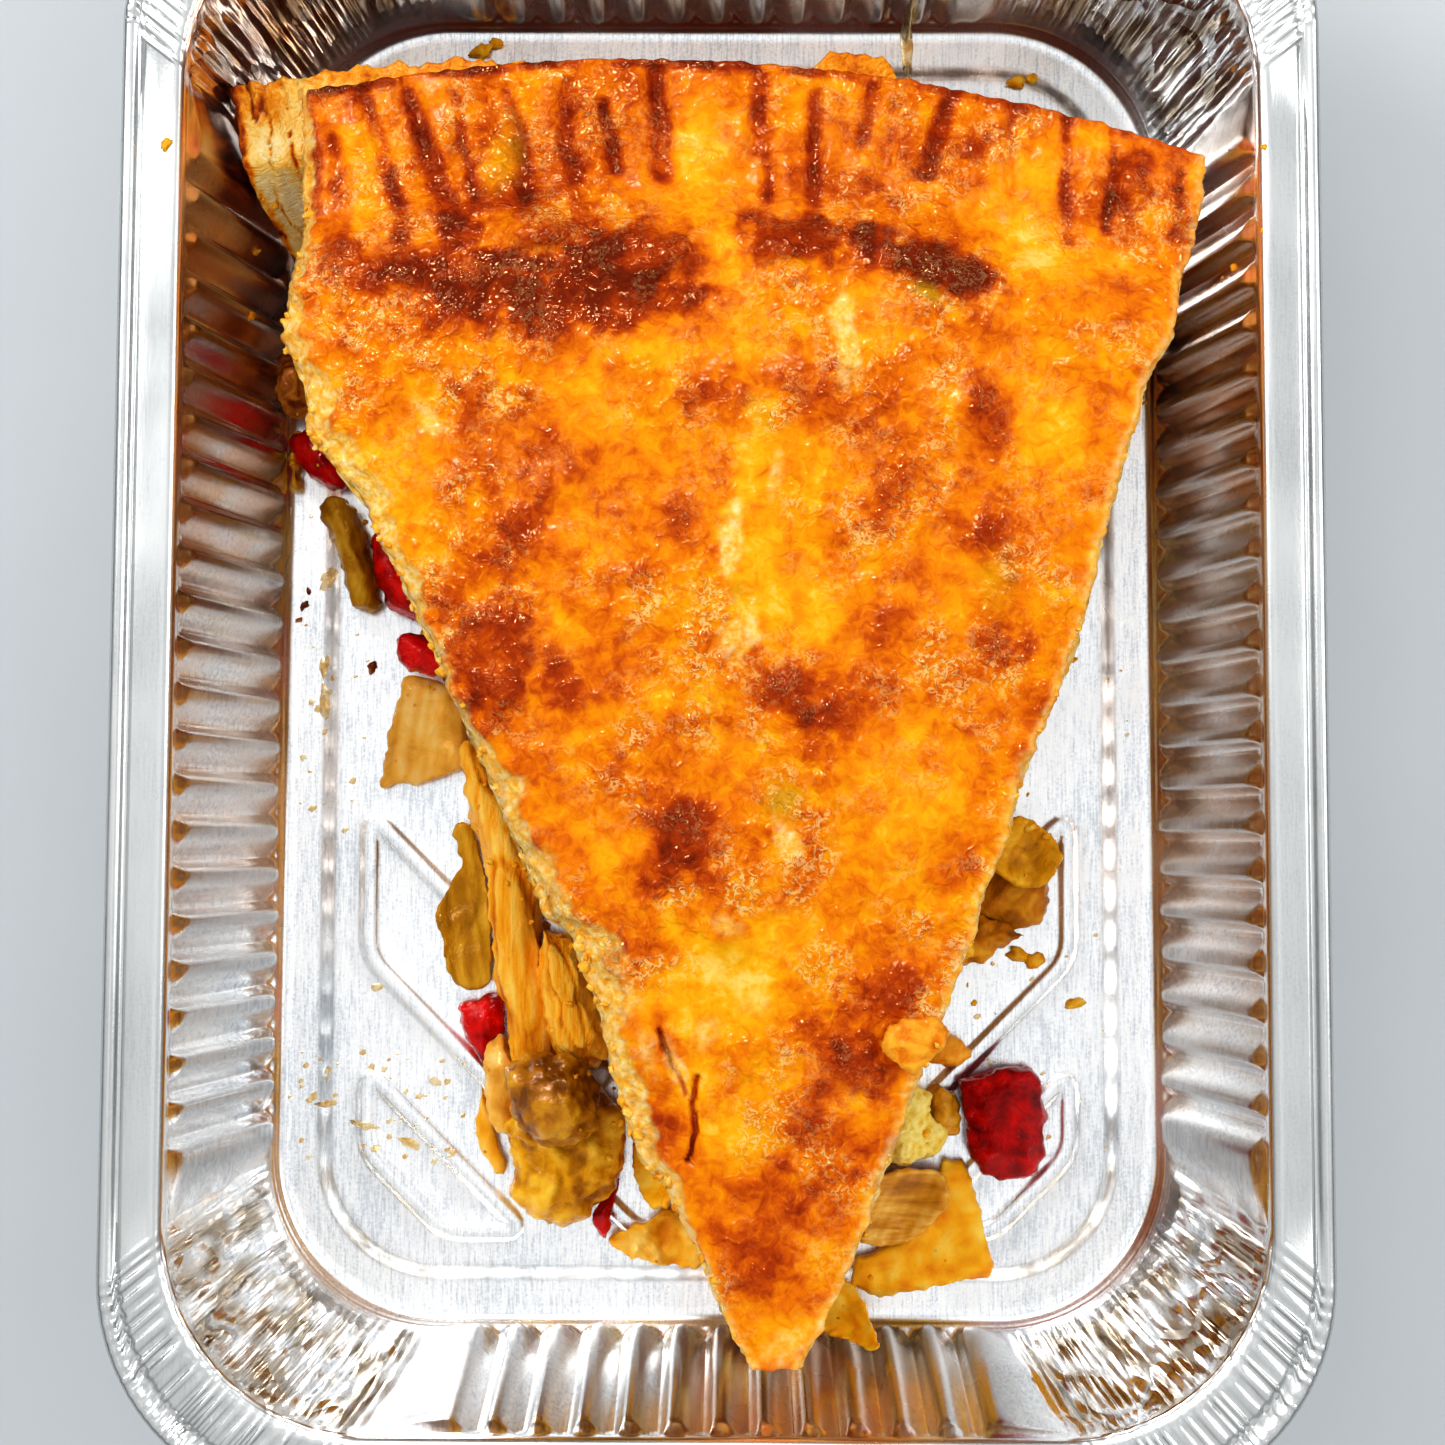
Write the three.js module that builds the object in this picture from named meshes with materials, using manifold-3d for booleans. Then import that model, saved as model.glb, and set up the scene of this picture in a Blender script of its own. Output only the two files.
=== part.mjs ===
// A slice of savoury pie in a crimped foil tray, with the filling that has spilled out beside it.
// Millimetres, +Z up. The origin is on the surface the tray stands on, under the middle of the tray.
// +Y runs along the tray, from the slice's tip towards its rim.
import * as THREE from 'three';
import { mergeVertices } from 'three/addons/utils/BufferGeometryUtils.js';
import Module from 'manifold-3d';

const wasm = await Module();
wasm.setup();

// ---------------------------------------------------------------- driving dimensions

const TRAY = {
  width: 157,
  length: 218.6,
  height: 41,
  foil: 0.5,
  outerCorner: 28.5,
  opening: { width: 140.7, length: 201.6, corner: 26.3 },
  floor: { width: 126.8, length: 188.6, corner: 24 },
  bead: 2.2,
  neck: 3.6,
};

const FLUTES = { long: 22, longPitch: 6, short: 12, shortPitch: 5.8, depth: 0.8, from: 4.5, to: 34.5 };

const EMBOSS = {
  bandWidth: 5.9,
  stepRun: 2.6,
  panelRise: 1,
  ribWidth: 2.5,
  ribRise: 0.8,
  ribSide: 50.2,
  ribEnd: 82.6,
};

// What carries the food: the tops of the floor's ribs, its centre panel and its outer band.
const GAP = 0.3;
const LAYER_GAP = 0.45;
const PANEL_TOP = TRAY.foil + EMBOSS.panelRise;
const ON_RIBS = PANEL_TOP + EMBOSS.ribRise + GAP;
const ON_PANEL = PANEL_TOP + GAP;
const ON_BAND = TRAY.foil + GAP;

const SLICE = {
  sagitta: 8.4,
  length: 172,
  crustThick: 4,
  baseThick: 3.8,
  rimTop: 31.5,
  ringTop: 37,
  middleTop: 37.6,
  tipTop: 34.5,
  crimps: 27,
  crimpDepth: 1.5,
  crimpReach: 17,
};

const COLOURS = {
  foil: 0xd4d7da,
  crust: 0xd9831c,
  base: 0xe0a646,
  filling: 0xb98a2c,
  flake: 0xc4701c,
  darkFlake: 0x6b2410,
  redPepper: 0xc0120a,
  darkPepper: 0x780808,
  greenVeg: 0x96781a,
  onion: 0xc8963c,
  brownOnion: 0x8a4e12,
  chicken: 0xd08a2a,
  mustard: 0xb58a1a,
  paleVeg: 0xe4cf7a,
};

// ---------------------------------------------------------------- small mathematics

const lerp = (a, b, f) => a + (b - a) * f;
const clamp01 = (f) => Math.min(1, Math.max(0, f));
const smooth = (from, to, x) => {
  const f = clamp01((x - from) / (to - from));
  return f * f * (3 - 2 * f);
};

// A fixed pseudo-random number in [0, 1) for every whole-number seed.
function hash(seed) {
  let h = (seed | 0) ^ 0x9e3779b9;
  h = Math.imul(h ^ (h >>> 16), 0x85ebca6b);
  h = Math.imul(h ^ (h >>> 13), 0xc2b2ae35);
  return ((h ^ (h >>> 16)) >>> 0) / 4294967296;
}

// Smooth noise in [-1, 1] along a line, with one knot per unit.
function wander(x, seed) {
  const knot = Math.floor(x);
  const a = hash(knot * 7919 + seed * 104729);
  const b = hash((knot + 1) * 7919 + seed * 104729);
  return lerp(a, b, smooth(0, 1, x - knot)) * 2 - 1;
}

// Reads a line of [place, value] pairs at a place, straight between the pairs.
function along(pairs, place) {
  if (place <= pairs[0][0]) return pairs[0][1];
  for (let i = 1; i < pairs.length; i += 1) {
    const [x0, v0] = pairs[i - 1];
    const [x1, v1] = pairs[i];
    if (place <= x1) return lerp(v0, v1, (place - x0) / (x1 - x0));
  }
  return pairs[pairs.length - 1][1];
}

// ---------------------------------------------------------------- closed skins

// A closed triangle skin, built from rows of points that are stitched together.
class Skin {
  constructor() {
    this.positions = [];
    this.faces = [];
  }

  // Adds a row of { x, y, z, u } points.
  // u orders them along the row, so that rows of unlike counts can be stitched.
  row(points) {
    return points.map((p) => {
      this.positions.push(p.x, p.y, p.z);
      return { id: this.positions.length / 3 - 1, u: p.u };
    });
  }

  // Stitches two rows. Closed rows run round once, with u from 0 up to 1.
  stitch(a, b, closed) {
    const stopA = closed ? a.length : a.length - 1;
    const stopB = closed ? b.length : b.length - 1;
    let i = 0;
    let j = 0;
    while (i < stopA || j < stopB) {
      const nextA = i < stopA ? (a[i + 1]?.u ?? 1) : Infinity;
      const nextB = j < stopB ? (b[j + 1]?.u ?? 1) : Infinity;
      const hereA = a[i % a.length].id;
      const hereB = b[j % b.length].id;
      if (nextA <= nextB) {
        this.faces.push(hereA, a[(i + 1) % a.length].id, hereB);
        i += 1;
      } else {
        this.faces.push(hereA, b[(j + 1) % b.length].id, hereB);
        j += 1;
      }
    }
  }

  // Closes a row with a fan to one point in its middle. flip turns the fan over.
  fan(row, centre, flip) {
    const [middle] = this.row([centre]);
    row.forEach((p, i) => {
      const q = row[(i + 1) % row.length];
      if (flip) this.faces.push(p.id, q.id, middle.id);
      else this.faces.push(q.id, p.id, middle.id);
    });
  }

  // The finished geometry, turned inside out if its faces point inwards.
  geometry() {
    const at = (id) => new THREE.Vector3().fromArray(this.positions, id * 3);
    let volume = 0;
    for (let i = 0; i < this.faces.length; i += 3) {
      const [a, b, c] = [at(this.faces[i]), at(this.faces[i + 1]), at(this.faces[i + 2])];
      volume += a.dot(b.cross(c));
    }
    const faces = volume < 0 ? [...this.faces].reverse() : this.faces;
    const geometry = new THREE.BufferGeometry();
    geometry.setAttribute('position', new THREE.Float32BufferAttribute(this.positions, 3));
    geometry.setIndex(faces);
    return geometry;
  }
}

function toSolid(geometry) {
  const bare = geometry.clone();
  bare.deleteAttribute('normal');
  bare.deleteAttribute('uv');
  const merged = mergeVertices(bare, 1e-4);
  const vertProperties = new Float32Array(merged.attributes.position.array);
  const triVerts = new Uint32Array(merged.index.array);
  return new wasm.Manifold(new wasm.Mesh({ numProp: 3, vertProperties, triVerts }));
}

function toGeometry(solid) {
  const mesh = solid.getMesh();
  const geometry = new THREE.BufferGeometry();
  geometry.setAttribute('position', new THREE.BufferAttribute(new Float32Array(mesh.vertProperties), 3));
  geometry.setIndex(new THREE.BufferAttribute(new Uint32Array(mesh.triVerts), 1));
  return geometry;
}

// ---------------------------------------------------------------- the tray

// The stations round a rounded rectangle: points on each straight side, given by their place along it,
// and points round each corner, given by their share of the quarter turn.
function stations(sideStations, cornerSteps) {
  const list = [];
  for (let quarter = 0; quarter < 4; quarter += 1) {
    const onLongSide = quarter % 2 === 0;
    for (const { place, flute } of sideStations(onLongSide)) {
      list.push({ quarter, place, flute, u: (quarter + 0.25 + place / 400) / 4 });
    }
    for (let step = 0; step <= cornerSteps; step += 1) {
      const share = step / cornerSteps;
      const pleat = step % cornerSteps === 0 ? 0 : (hash(quarter * 31 + step) - 0.5) * 1.1;
      list.push({ quarter, turn: share, flute: pleat, u: (quarter + 0.5 + share / 2.02) / 4 });
    }
  }
  return list;
}

const COARSE = stations(() => [], 8);

// One flute: a broad facet that climbs slowly and a narrow one that drops.
const FLUTE_WAVE = [[0, -1], [0.2, -0.85], [0.72, 1]];

const FINE = stations((onLongSide) => {
  const count = onLongSide ? FLUTES.long : FLUTES.short;
  const pitch = onLongSide ? FLUTES.longPitch : FLUTES.shortPitch;
  const list = [];
  for (let i = 0; i < count; i += 1) {
    for (const [share, height] of FLUTE_WAVE) {
      list.push({ place: (i + share - count / 2) * pitch, flute: height });
    }
  }
  list.push({ place: (count / 2) * pitch, flute: -1 });
  return list;
}, 8);

// A ring round the tray at one height. depth is how far the flutes stand in and out of it.
function ring(list, { halfWidth, halfLength, corner, z, depth = 0 }) {
  const points = list.map(({ quarter, place, turn, flute, u }) => {
    // Each quarter starts on a side that faces +X, +Y, -X or -Y, and turns to the left.
    const onLongSide = quarter % 2 === 0;
    const reach = onLongSide ? halfWidth : halfLength;
    const side = (onLongSide ? halfLength : halfWidth) - corner;
    const angle = turn === undefined ? 0 : (turn * Math.PI) / 2;
    const out = reach - corner + (corner + flute * depth) * Math.cos(angle);
    const sideways = turn === undefined ? place : side + (corner + flute * depth) * Math.sin(angle);
    const heading = (quarter * Math.PI) / 2;
    return {
      x: out * Math.cos(heading) - sideways * Math.sin(heading),
      y: out * Math.sin(heading) + sideways * Math.cos(heading),
      z,
      u,
    };
  });
  return points;
}

// The size of the wall's ring at a height, on its way from the floor to the opening.
function wallAt(z, outward) {
  const f = clamp01(z / (TRAY.height - TRAY.neck));
  const size = (key) => lerp(TRAY.floor[key], TRAY.opening[key], f);
  return {
    halfWidth: size('width') / 2 + outward,
    halfLength: size('length') / 2 + outward,
    corner: size('corner') + outward,
    z,
  };
}

function inset(shape, by, z) {
  return {
    halfWidth: shape.width / 2 - by,
    halfLength: shape.length / 2 - by,
    corner: shape.corner - by,
    z,
  };
}

// The floor, wall, neck and flange on one face of the foil, from the middle of the floor outwards.
function trayFace(level, outward) {
  const { floor, opening, height, neck } = TRAY;
  const { bandWidth, stepRun, panelRise } = EMBOSS;
  const lip = 1.4;
  return [
    [COARSE, inset(floor, bandWidth + stepRun - outward, level + panelRise)],
    [COARSE, inset(floor, bandWidth - outward, level)],
    [COARSE, inset(floor, lip - outward, level)],
    [COARSE, { ...wallAt(level + lip * 0.9, outward) }],
    [FINE, { ...wallAt(FLUTES.from, outward), depth: FLUTES.depth * 0.7 }],
    [FINE, { ...wallAt(FLUTES.to, outward), depth: FLUTES.depth }],
    [COARSE, inset(opening, -outward, height - neck)],
    [COARSE, inset(opening, -outward, height - 1.2)],
  ];
}

// The rolled edge, as rings round a small circle.
function beadRings() {
  const radius = TRAY.bead / 2;
  const middle = { x: TRAY.width / 2 - radius, z: TRAY.height - radius };
  const turns = [150, 95, 40, -15, -70, -125];
  return turns.map((degrees) => {
    const angle = THREE.MathUtils.degToRad(degrees);
    const by = radius - radius * Math.cos(angle);
    const edge = { width: TRAY.width, length: TRAY.length, corner: TRAY.outerCorner };
    return [COARSE, inset(edge, by, middle.z + radius * Math.sin(angle))];
  });
}

// The flange between the neck and the rolled edge, on the upper or the under face.
function flangeRings(z) {
  const edge = { width: TRAY.width, length: TRAY.length, corner: TRAY.outerCorner };
  return {
    inner: [COARSE, inset(TRAY.opening, -0.7, z)],
    outer: [COARSE, inset(edge, TRAY.bead + 0.3, z)],
  };
}

function trayShell() {
  const skin = new Skin();
  const flangeTop = flangeRings(TRAY.height - 0.6);
  const flangeUnder = flangeRings(TRAY.height - 0.6 - TRAY.foil);
  const rings = [
    ...trayFace(TRAY.foil, 0),
    flangeTop.inner,
    flangeTop.outer,
    ...beadRings(),
    flangeUnder.outer,
    [COARSE, inset(TRAY.opening, -0.9, TRAY.height - 1.1)],
    ...trayFace(0, TRAY.foil).reverse().slice(1),
  ];
  const rows = rings.map(([list, shape]) => skin.row(ring(list, shape)));
  for (let i = 1; i < rows.length; i += 1) skin.stitch(rows[i - 1], rows[i], true);
  const floorTop = { x: 0, y: 0, z: TRAY.foil + EMBOSS.panelRise };
  const floorUnder = { x: 0, y: 0, z: EMBOSS.panelRise };
  skin.fan(rows[0], floorTop, false);
  skin.fan(rows[rows.length - 1], floorUnder, true);
  return skin.geometry();
}

// A polygon's corners, each cut back and rounded by a short arc.
function roundCorners(corners, radius) {
  const points = [];
  corners.forEach((corner, i) => {
    const before = corners[(i + corners.length - 1) % corners.length];
    const after = corners[(i + 1) % corners.length];
    const toward = (other) => other.clone().sub(corner).setLength(radius).add(corner);
    const arc = new THREE.QuadraticBezierCurve(toward(before), corner, toward(after));
    points.push(...arc.getPoints(2));
  });
  return points;
}

// A rib that runs round a closed course, standing up from the floor's panel.
function ribLoop(course) {
  const corners = course.map(([x, y]) => new THREE.Vector2(x, y));
  const shrunk = corners.map((corner, i) => {
    const before = corners[(i + corners.length - 1) % corners.length];
    const after = corners[(i + 1) % corners.length];
    const into = corner.clone().sub(before).normalize();
    const out = after.clone().sub(corner).normalize();
    const turn = into.x * out.y - into.y * out.x;
    const shift = out.clone().sub(into).multiplyScalar(EMBOSS.ribWidth / turn);
    return corner.clone().add(shift);
  });
  const shape = new THREE.Shape(roundCorners(corners, 3.6));
  shape.holes.push(new THREE.Path(roundCorners(shrunk, 2)));
  const overlap = TRAY.foil / 2;
  const geometry = new THREE.ExtrudeGeometry(shape, { depth: EMBOSS.ribRise + overlap, bevelEnabled: false });
  return geometry.translate(0, 0, PANEL_TOP - overlap);
}

// The ribs: at each end of the floor a broad V, and outside it a triangle in each corner.
function ribs() {
  const side = EMBOSS.ribSide + EMBOSS.ribWidth / 2;
  const end = EMBOSS.ribEnd;
  const vTop = 19;
  const vDrop = 24;
  const gap = 12.5;
  const shapes = [];
  for (const flip of [1, -1]) {
    const vLow = vTop + vDrop;
    const reach = side - (end - vLow);
    const course = [
      [-side, -vTop], [-side, -vLow], [-reach, -end], [reach, -end], [side, -vLow], [side, -vTop],
      [0, -vTop - side],
    ];
    shapes.push(course.map(([x, y]) => [x, y * flip]));
    for (const hand of [1, -1]) {
      const top = vLow + gap;
      const cut = 12;
      const corner = [[-side, -top], [-side, -end + cut], [-side + cut, -end], [-side + end - top, -end]];
      shapes.push(corner.map(([x, y]) => [x * hand, y * flip]));
    }
  }
  // Mirrored courses run the other way round, so each is put back in the left-hand sense.
  return shapes.map((course) => {
    const area = THREE.ShapeUtils.area(course.map(([x, y]) => new THREE.Vector2(x, y)));
    return ribLoop(area < 0 ? course.reverse() : course);
  });
}

function foilTray() {
  const shell = toSolid(trayShell());
  const joined = ribs().reduce((solid, rib) => solid.add(toSolid(rib)), shell);
  return toGeometry(joined);
}

// ---------------------------------------------------------------- the slice of pie

// Where each cut runs, as [y, x] from the tip to the rim, for the browned top and for the layers below it.
const LEFT_CUT = [
  [-93.2, 4.6], [-87.6, 1.4], [-77.8, -2.6], [-69.6, -7], [-67.5, -9.6], [-59.5, -12.2], [-51.9, -14.4],
  [-44.7, -16.3], [-38.2, -18.8], [-35.3, -22.4], [-27, -25.8], [-12.2, -32.2], [2, -38.7], [17.6, -46],
  [27, -53.6], [34.6, -54.9], [40.2, -57.6], [54, -56], [74.5, -56.6],
];
const LEFT_BASE = [
  [-92, 5.4], [-70, -3], [-40, -14.6], [0, -34.6], [20, -43.6], [40, -54.8], [48.3, -58.6], [58.7, -61.8],
  [66, -65.2], [74.5, -67],
];
const RIGHT_CUT = [
  [-92.6, 11], [-88.9, 13], [-77.7, 18.2], [-58.4, 25.2], [-46.2, 29.9], [-32.6, 34.6], [-16.7, 39.8],
  [0.2, 46.7], [18.2, 51.3], [33.2, 55.6], [41.5, 59.4], [53.8, 63], [66.2, 65.4],
];
const UNDER_COLUMNS = 8;
const TIP_Y = -93;
const RIM_Y = { left: 74.4, right: 66.2 };

// A point of the slice: t runs from the tip to the rim, s from the left cut to the right one.
function slicePoint(t, s, cuts, jut) {
  const yLeft = lerp(TIP_Y, RIM_Y.left, t);
  const yRight = lerp(TIP_Y, RIM_Y.right, t);
  const xLeft = along(cuts.left, yLeft) - jut.left;
  const xRight = along(cuts.right, yRight) + jut.right;
  const bow = SLICE.sagitta * t * 4 * s * (1 - s);
  return { x: lerp(xLeft, xRight, s), y: lerp(yLeft, yRight, s) + bow };
}

// How far a row of the slice is from its rim.
const fromRim = (t) => (1 - t) * SLICE.length;

// The top of the upper crust before its fork marks: a flat rim, a swollen ring inside it and a level middle.
function crustTop(t, s) {
  const e = fromRim(t);
  const profile = [
    [0, SLICE.rimTop - 1], [2, SLICE.rimTop], [17, SLICE.rimTop + 0.4], [26, SLICE.ringTop],
    [42, SLICE.middleTop], [110, SLICE.middleTop - 0.6], [SLICE.length, SLICE.tipTop],
  ];
  const swell = smooth(18, 30, e) * smooth(0.05, 0.3, t);
  return along(profile, e) + swell * 0.6 * wander(t * 9 + s * 3, 3) * wander(s * 4 - t * 2 + 8, 5);
}

// The underside of the upper crust, which the filling and the lower crust's lip meet.
const crustUnder = (t) => crustTop(t, 0.5) - SLICE.crustThick - 0.8 * smooth(30, 12, fromRim(t));

// The lower crust: a flat base, a sloping side and a lip that the upper crust's rim is pressed to.
const baseTop = (t) => {
  const lip = SLICE.rimTop - SLICE.crustThick - 1.6;
  return along([[0, lip - 0.6], [9, lip], [21, ON_RIBS + SLICE.baseThick]], fromRim(t));
};
const baseUnder = (t) => {
  const lip = SLICE.rimTop - SLICE.crustThick - 6.4;
  return along([[0, lip + 1], [6, lip], [16.5, ON_RIBS]], fromRim(t));
};

// A layer of the slice between two heights, on rows from the tip to the rim.
// side(t, share, hand) says how far a cut face stands out at a share of its height, which makes it craggy.
// beyond(t, s) says how far a point reaches out past the rim.
function sliceLayer({ rows, columns, top, under, cuts, side, rungs, beyond = () => 0, grow }) {
  const skin = new Skin();
  const ends = { [rows[0]]: -grow / SLICE.length, [rows.at(-1)]: grow / SLICE.length };
  const built = rows.map((row) => {
    const t = row + (ends[row] ?? 0);
    const high = (s) => top(t, s) + grow;
    const low = (s) => under(t, s) - grow;
    const place = (s, share, z, u) => {
      const jut = { left: side(t, share, 0) + grow, right: side(t, share, 1) + grow };
      const { x, y } = slicePoint(t, s, cuts, jut);
      return { x, y: y + beyond(t, s), z, u };
    };
    const line = (count, share, height) => {
      const points = [];
      for (let i = 0; i <= count; i += 1) points.push(place(i / count, share, height(i / count), i / count));
      return skin.row(points);
    };
    const upper = line(columns(t), 1, high);
    const lower = line(UNDER_COLUMNS, 0, low);
    const face = (s, foot, head) => {
      const points = [];
      for (let rung = 1; rung < rungs; rung += 1) {
        const share = rung / rungs;
        points.push(place(s, share, lerp(low(s), high(s), share), share));
      }
      return [{ id: foot.id, u: 0 }, ...skin.row(points), { id: head.id, u: 1 }];
    };
    return { upper, lower, left: face(0, lower[0], upper[0]), right: face(1, lower.at(-1), upper.at(-1)) };
  });
  for (let i = 1; i < built.length; i += 1) {
    const [before, here] = [built[i - 1], built[i]];
    skin.stitch(before.upper, here.upper, false);
    skin.stitch(here.lower, before.lower, false);
    skin.stitch(before.left, here.left, false);
    skin.stitch(here.right, before.right, false);
  }
  // The two ends: a band between the upper and lower rows, and what each craggy side adds to it.
  const [tip, rim] = [built[0], built.at(-1)];
  skin.stitch(tip.lower, tip.upper, false);
  skin.stitch(rim.upper, rim.lower, false);
  for (let i = 1; i < rungs; i += 1) {
    skin.faces.push(tip.left[0].id, tip.left[i + 1].id, tip.left[i].id);
    skin.faces.push(tip.right[0].id, tip.right[i].id, tip.right[i + 1].id);
    skin.faces.push(rim.left[0].id, rim.left[i].id, rim.left[i + 1].id);
    skin.faces.push(rim.right[0].id, rim.right[i + 1].id, rim.right[i].id);
  }
  return skin.geometry();
}

// Rows from the tip towards the rim: far apart over the plain middle and close together where the rim swells.
function sliceRows(from, to, count, extra = []) {
  const rows = [];
  for (let i = 0; i <= count; i += 1) rows.push(lerp(from, to, i / count));
  return [...rows, ...extra].sort((a, b) => a - b);
}

// How deep the fork has pressed the rim at a place, between 0 and 1.
function forkMark(t, s) {
  const count = SLICE.crimps;
  const tine = Math.floor(s * count);
  const share = s * count - tine;
  const reach = SLICE.crimpReach * (0.75 + 0.4 * hash(tine + 50));
  const across = share > 0.2 && share < 0.8 ? 1 : 0;
  return across * smooth(reach, reach - 2.5, fromRim(t)) * smooth(0.2, 1.4, fromRim(t) + 0.6);
}

// A craggy cut face: how far it stands out at a row, a share of its height and a hand.
const crag = (seed, size) => (t, share, hand) => {
  const bow = 1 - Math.abs(share * 2 - 1);
  const broad = wander(t * 26 + share * 3, seed + hand);
  const fine = wander(t * 41 + share * 7, seed + 9 + hand);
  return size * (0.6 * broad + 0.4 * bow * fine);
};

function topCrust(grow) {
  const crimpRows = [0.895, 0.905, 0.925, 0.96, 0.985, 0.993, 1];
  return sliceLayer({
    rows: sliceRows(0, 0.87, 17, [0.85, ...crimpRows]),
    columns: (t) => (t > 0.89 ? SLICE.crimps * 4 : 10),
    top: (t, s) => crustTop(t, s) - SLICE.crimpDepth * forkMark(t, s),
    under: (t) => crustUnder(t),
    cuts: { left: LEFT_CUT, right: RIGHT_CUT },
    side: crag(11, 0.7),
    rungs: 2,
    grow,
  });
}

function filling(grow) {
  const lumps = crag(21, 1.7);
  return sliceLayer({
    rows: sliceRows(0.03, 0.945, 20),
    columns: () => 8,
    top: (t) => crustUnder(t) - LAYER_GAP,
    under: (t) => baseTop(t) + LAYER_GAP,
    cuts: { left: LEFT_CUT, right: RIGHT_CUT },
    side: (t, share, hand) => lumps(t, share, hand) - (hand ? 2.2 : 3.4 + 5 * smooth(0.86, 0.92, t)),
    rungs: 3,
    grow,
  });
}

function bottomCrust(grow) {
  // A torn flake juts from the lip, right of its middle, and the lip shows past the upper crust on the left.
  const lip = (s) => 2.4 * smooth(0.4, 0.22, s) + 5.2 * smooth(0.59, 0.63, s) * smooth(0.71, 0.68, s);
  const rimRows = [0.862, 0.878, 0.893, 0.905, 0.918, 0.932, 0.948, 0.965, 0.985, 1];
  return sliceLayer({
    rows: sliceRows(0, 0.84, 11, rimRows),
    columns: (t) => (t > 0.97 ? 24 : 8),
    top: (t) => Math.min(baseTop(t), crustUnder(t) - LAYER_GAP),
    under: (t) => baseUnder(t),
    cuts: { left: LEFT_BASE, right: RIGHT_CUT },
    side: (t, share, hand) => crag(31, 0.9)(t, share, hand) - (hand ? 1 : 0),
    rungs: 2,
    beyond: (t, s) => lip(s) * smooth(0.97, 1, t),
    grow,
  });
}

// ---------------------------------------------------------------- loose pieces of filling and crust

// Points spaced evenly round a smooth closed outline.
function outlinePoints(corners, count, tension) {
  const vectors = corners.map(([x, y]) => new THREE.Vector3(x, y, 0));
  const curve = new THREE.CatmullRomCurve3(vectors, true, 'catmullrom', tension);
  return curve.getSpacedPoints(count).slice(0, count);
}

// A loose morsel: a slab or lump over an outline, with rounded edges, a crowned top and an uneven surface.
// rise tilts it: how many millimetres it climbs for each millimetre along X and Y.
function morsel(shape) {
  const { outline, base, thick, crown, rough, seed, rise = [0, 0], count = 14, tension = 0.35 } = shape;
  return (grow) => {
    const skin = new Skin();
    const edge = outlinePoints(outline, count, tension);
    const middle = edge.reduce((sum, p) => sum.add(p), new THREE.Vector3()).divideScalar(edge.length);
    const lift = (x, y) => rise[0] * (x - middle.x) + rise[1] * (y - middle.y);
    const level = (inwards, share, salt) => edge.map((p, i) => {
      const reach = p.clone().sub(middle);
      const far = reach.length();
      const jitter = 1 + (rough * (hash(seed * 97 + i * 13 + salt) - 0.5)) / far;
      const scaled = reach.multiplyScalar((Math.max(far - inwards, far * 0.25) / far) * jitter);
      scaled.setLength(scaled.length() + grow);
      const [x, y] = [middle.x + scaled.x, middle.y + scaled.y];
      const bump = rough * (hash(seed * 71 + i * 29 + salt) - 0.5) * (share > 0 ? 1 : 0);
      const spread = share < 0.5 ? -grow : grow;
      return { x, y, z: base + lift(x, y) + thick * share + bump + spread, u: i / count };
    });
    const round = Math.min(thick * 0.35, 1.6);
    const rows = [
      level(round, 0, 1),
      level(0, 0.3, 2),
      level(round * 0.3, 0.8, 3),
      level(round * 2.2, 1 + (crown * 0.7) / thick, 4),
    ].map((points) => skin.row(points));
    for (let i = 1; i < rows.length; i += 1) skin.stitch(rows[i - 1], rows[i], true);
    skin.fan(rows[rows.length - 1], { x: middle.x, y: middle.y, z: base + thick + crown + grow }, true);
    skin.fan(rows[0], { x: middle.x, y: middle.y, z: base - grow }, false);
    return skin.geometry();
  };
}

// A strip with a spine: spine holds [x, y, half width, height] at each step, and the section is a low arch.
function strip({ spine, base, rough, seed }) {
  return (grow) => {
    const skin = new Skin();
    const points = spine.map(([x, y]) => new THREE.Vector3(x, y, 0));
    const curve = new THREE.CatmullRomCurve3(points);
    const steps = spine.length * 2;
    const rows = [];
    for (let i = 0; i <= steps; i += 1) {
      const f = i / steps;
      const here = curve.getPoint(f);
      const across = curve.getTangent(f).applyAxisAngle(new THREE.Vector3(0, 0, 1), Math.PI / 2);
      const at = f * (spine.length - 1);
      const low = Math.min(Math.floor(at), spine.length - 2);
      const share = at - low;
      const half = lerp(spine[low][2], spine[low + 1][2], share) + grow;
      const tall = lerp(spine[low][3], spine[low + 1][3], share) + 2 * grow;
      const section = [];
      const sides = 10;
      for (let k = 0; k < sides; k += 1) {
        const angle = (k / sides) * Math.PI * 2;
        const wobble = 1 + (rough * (hash(seed * 53 + i * 17 + k * 7) - 0.5)) / half;
        const out = Math.cos(angle) * half * wobble;
        const up = Math.max(0, 0.5 + 0.62 * Math.sin(angle)) * tall;
        const z = base - grow + Math.min(up, tall);
        section.push({ x: here.x + across.x * out, y: here.y + across.y * out, z, u: k / sides });
      }
      rows.push(skin.row(section));
    }
    for (let i = 1; i < rows.length; i += 1) skin.stitch(rows[i - 1], rows[i], true);
    const end = (i, shift) => {
      const here = curve.getPoint(i === 0 ? 0 : 1);
      const tangent = curve.getTangent(i === 0 ? 0 : 1);
      const tall = spine[i === 0 ? 0 : spine.length - 1][3];
      return { x: here.x + tangent.x * shift, y: here.y + tangent.y * shift, z: base + tall * 0.45 };
    };
    skin.fan(rows[0], end(0, -0.8 - grow), false);
    skin.fan(rows[rows.length - 1], end(rows.length - 1, 0.8 + grow), true);
    return skin.geometry();
  };
}

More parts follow.
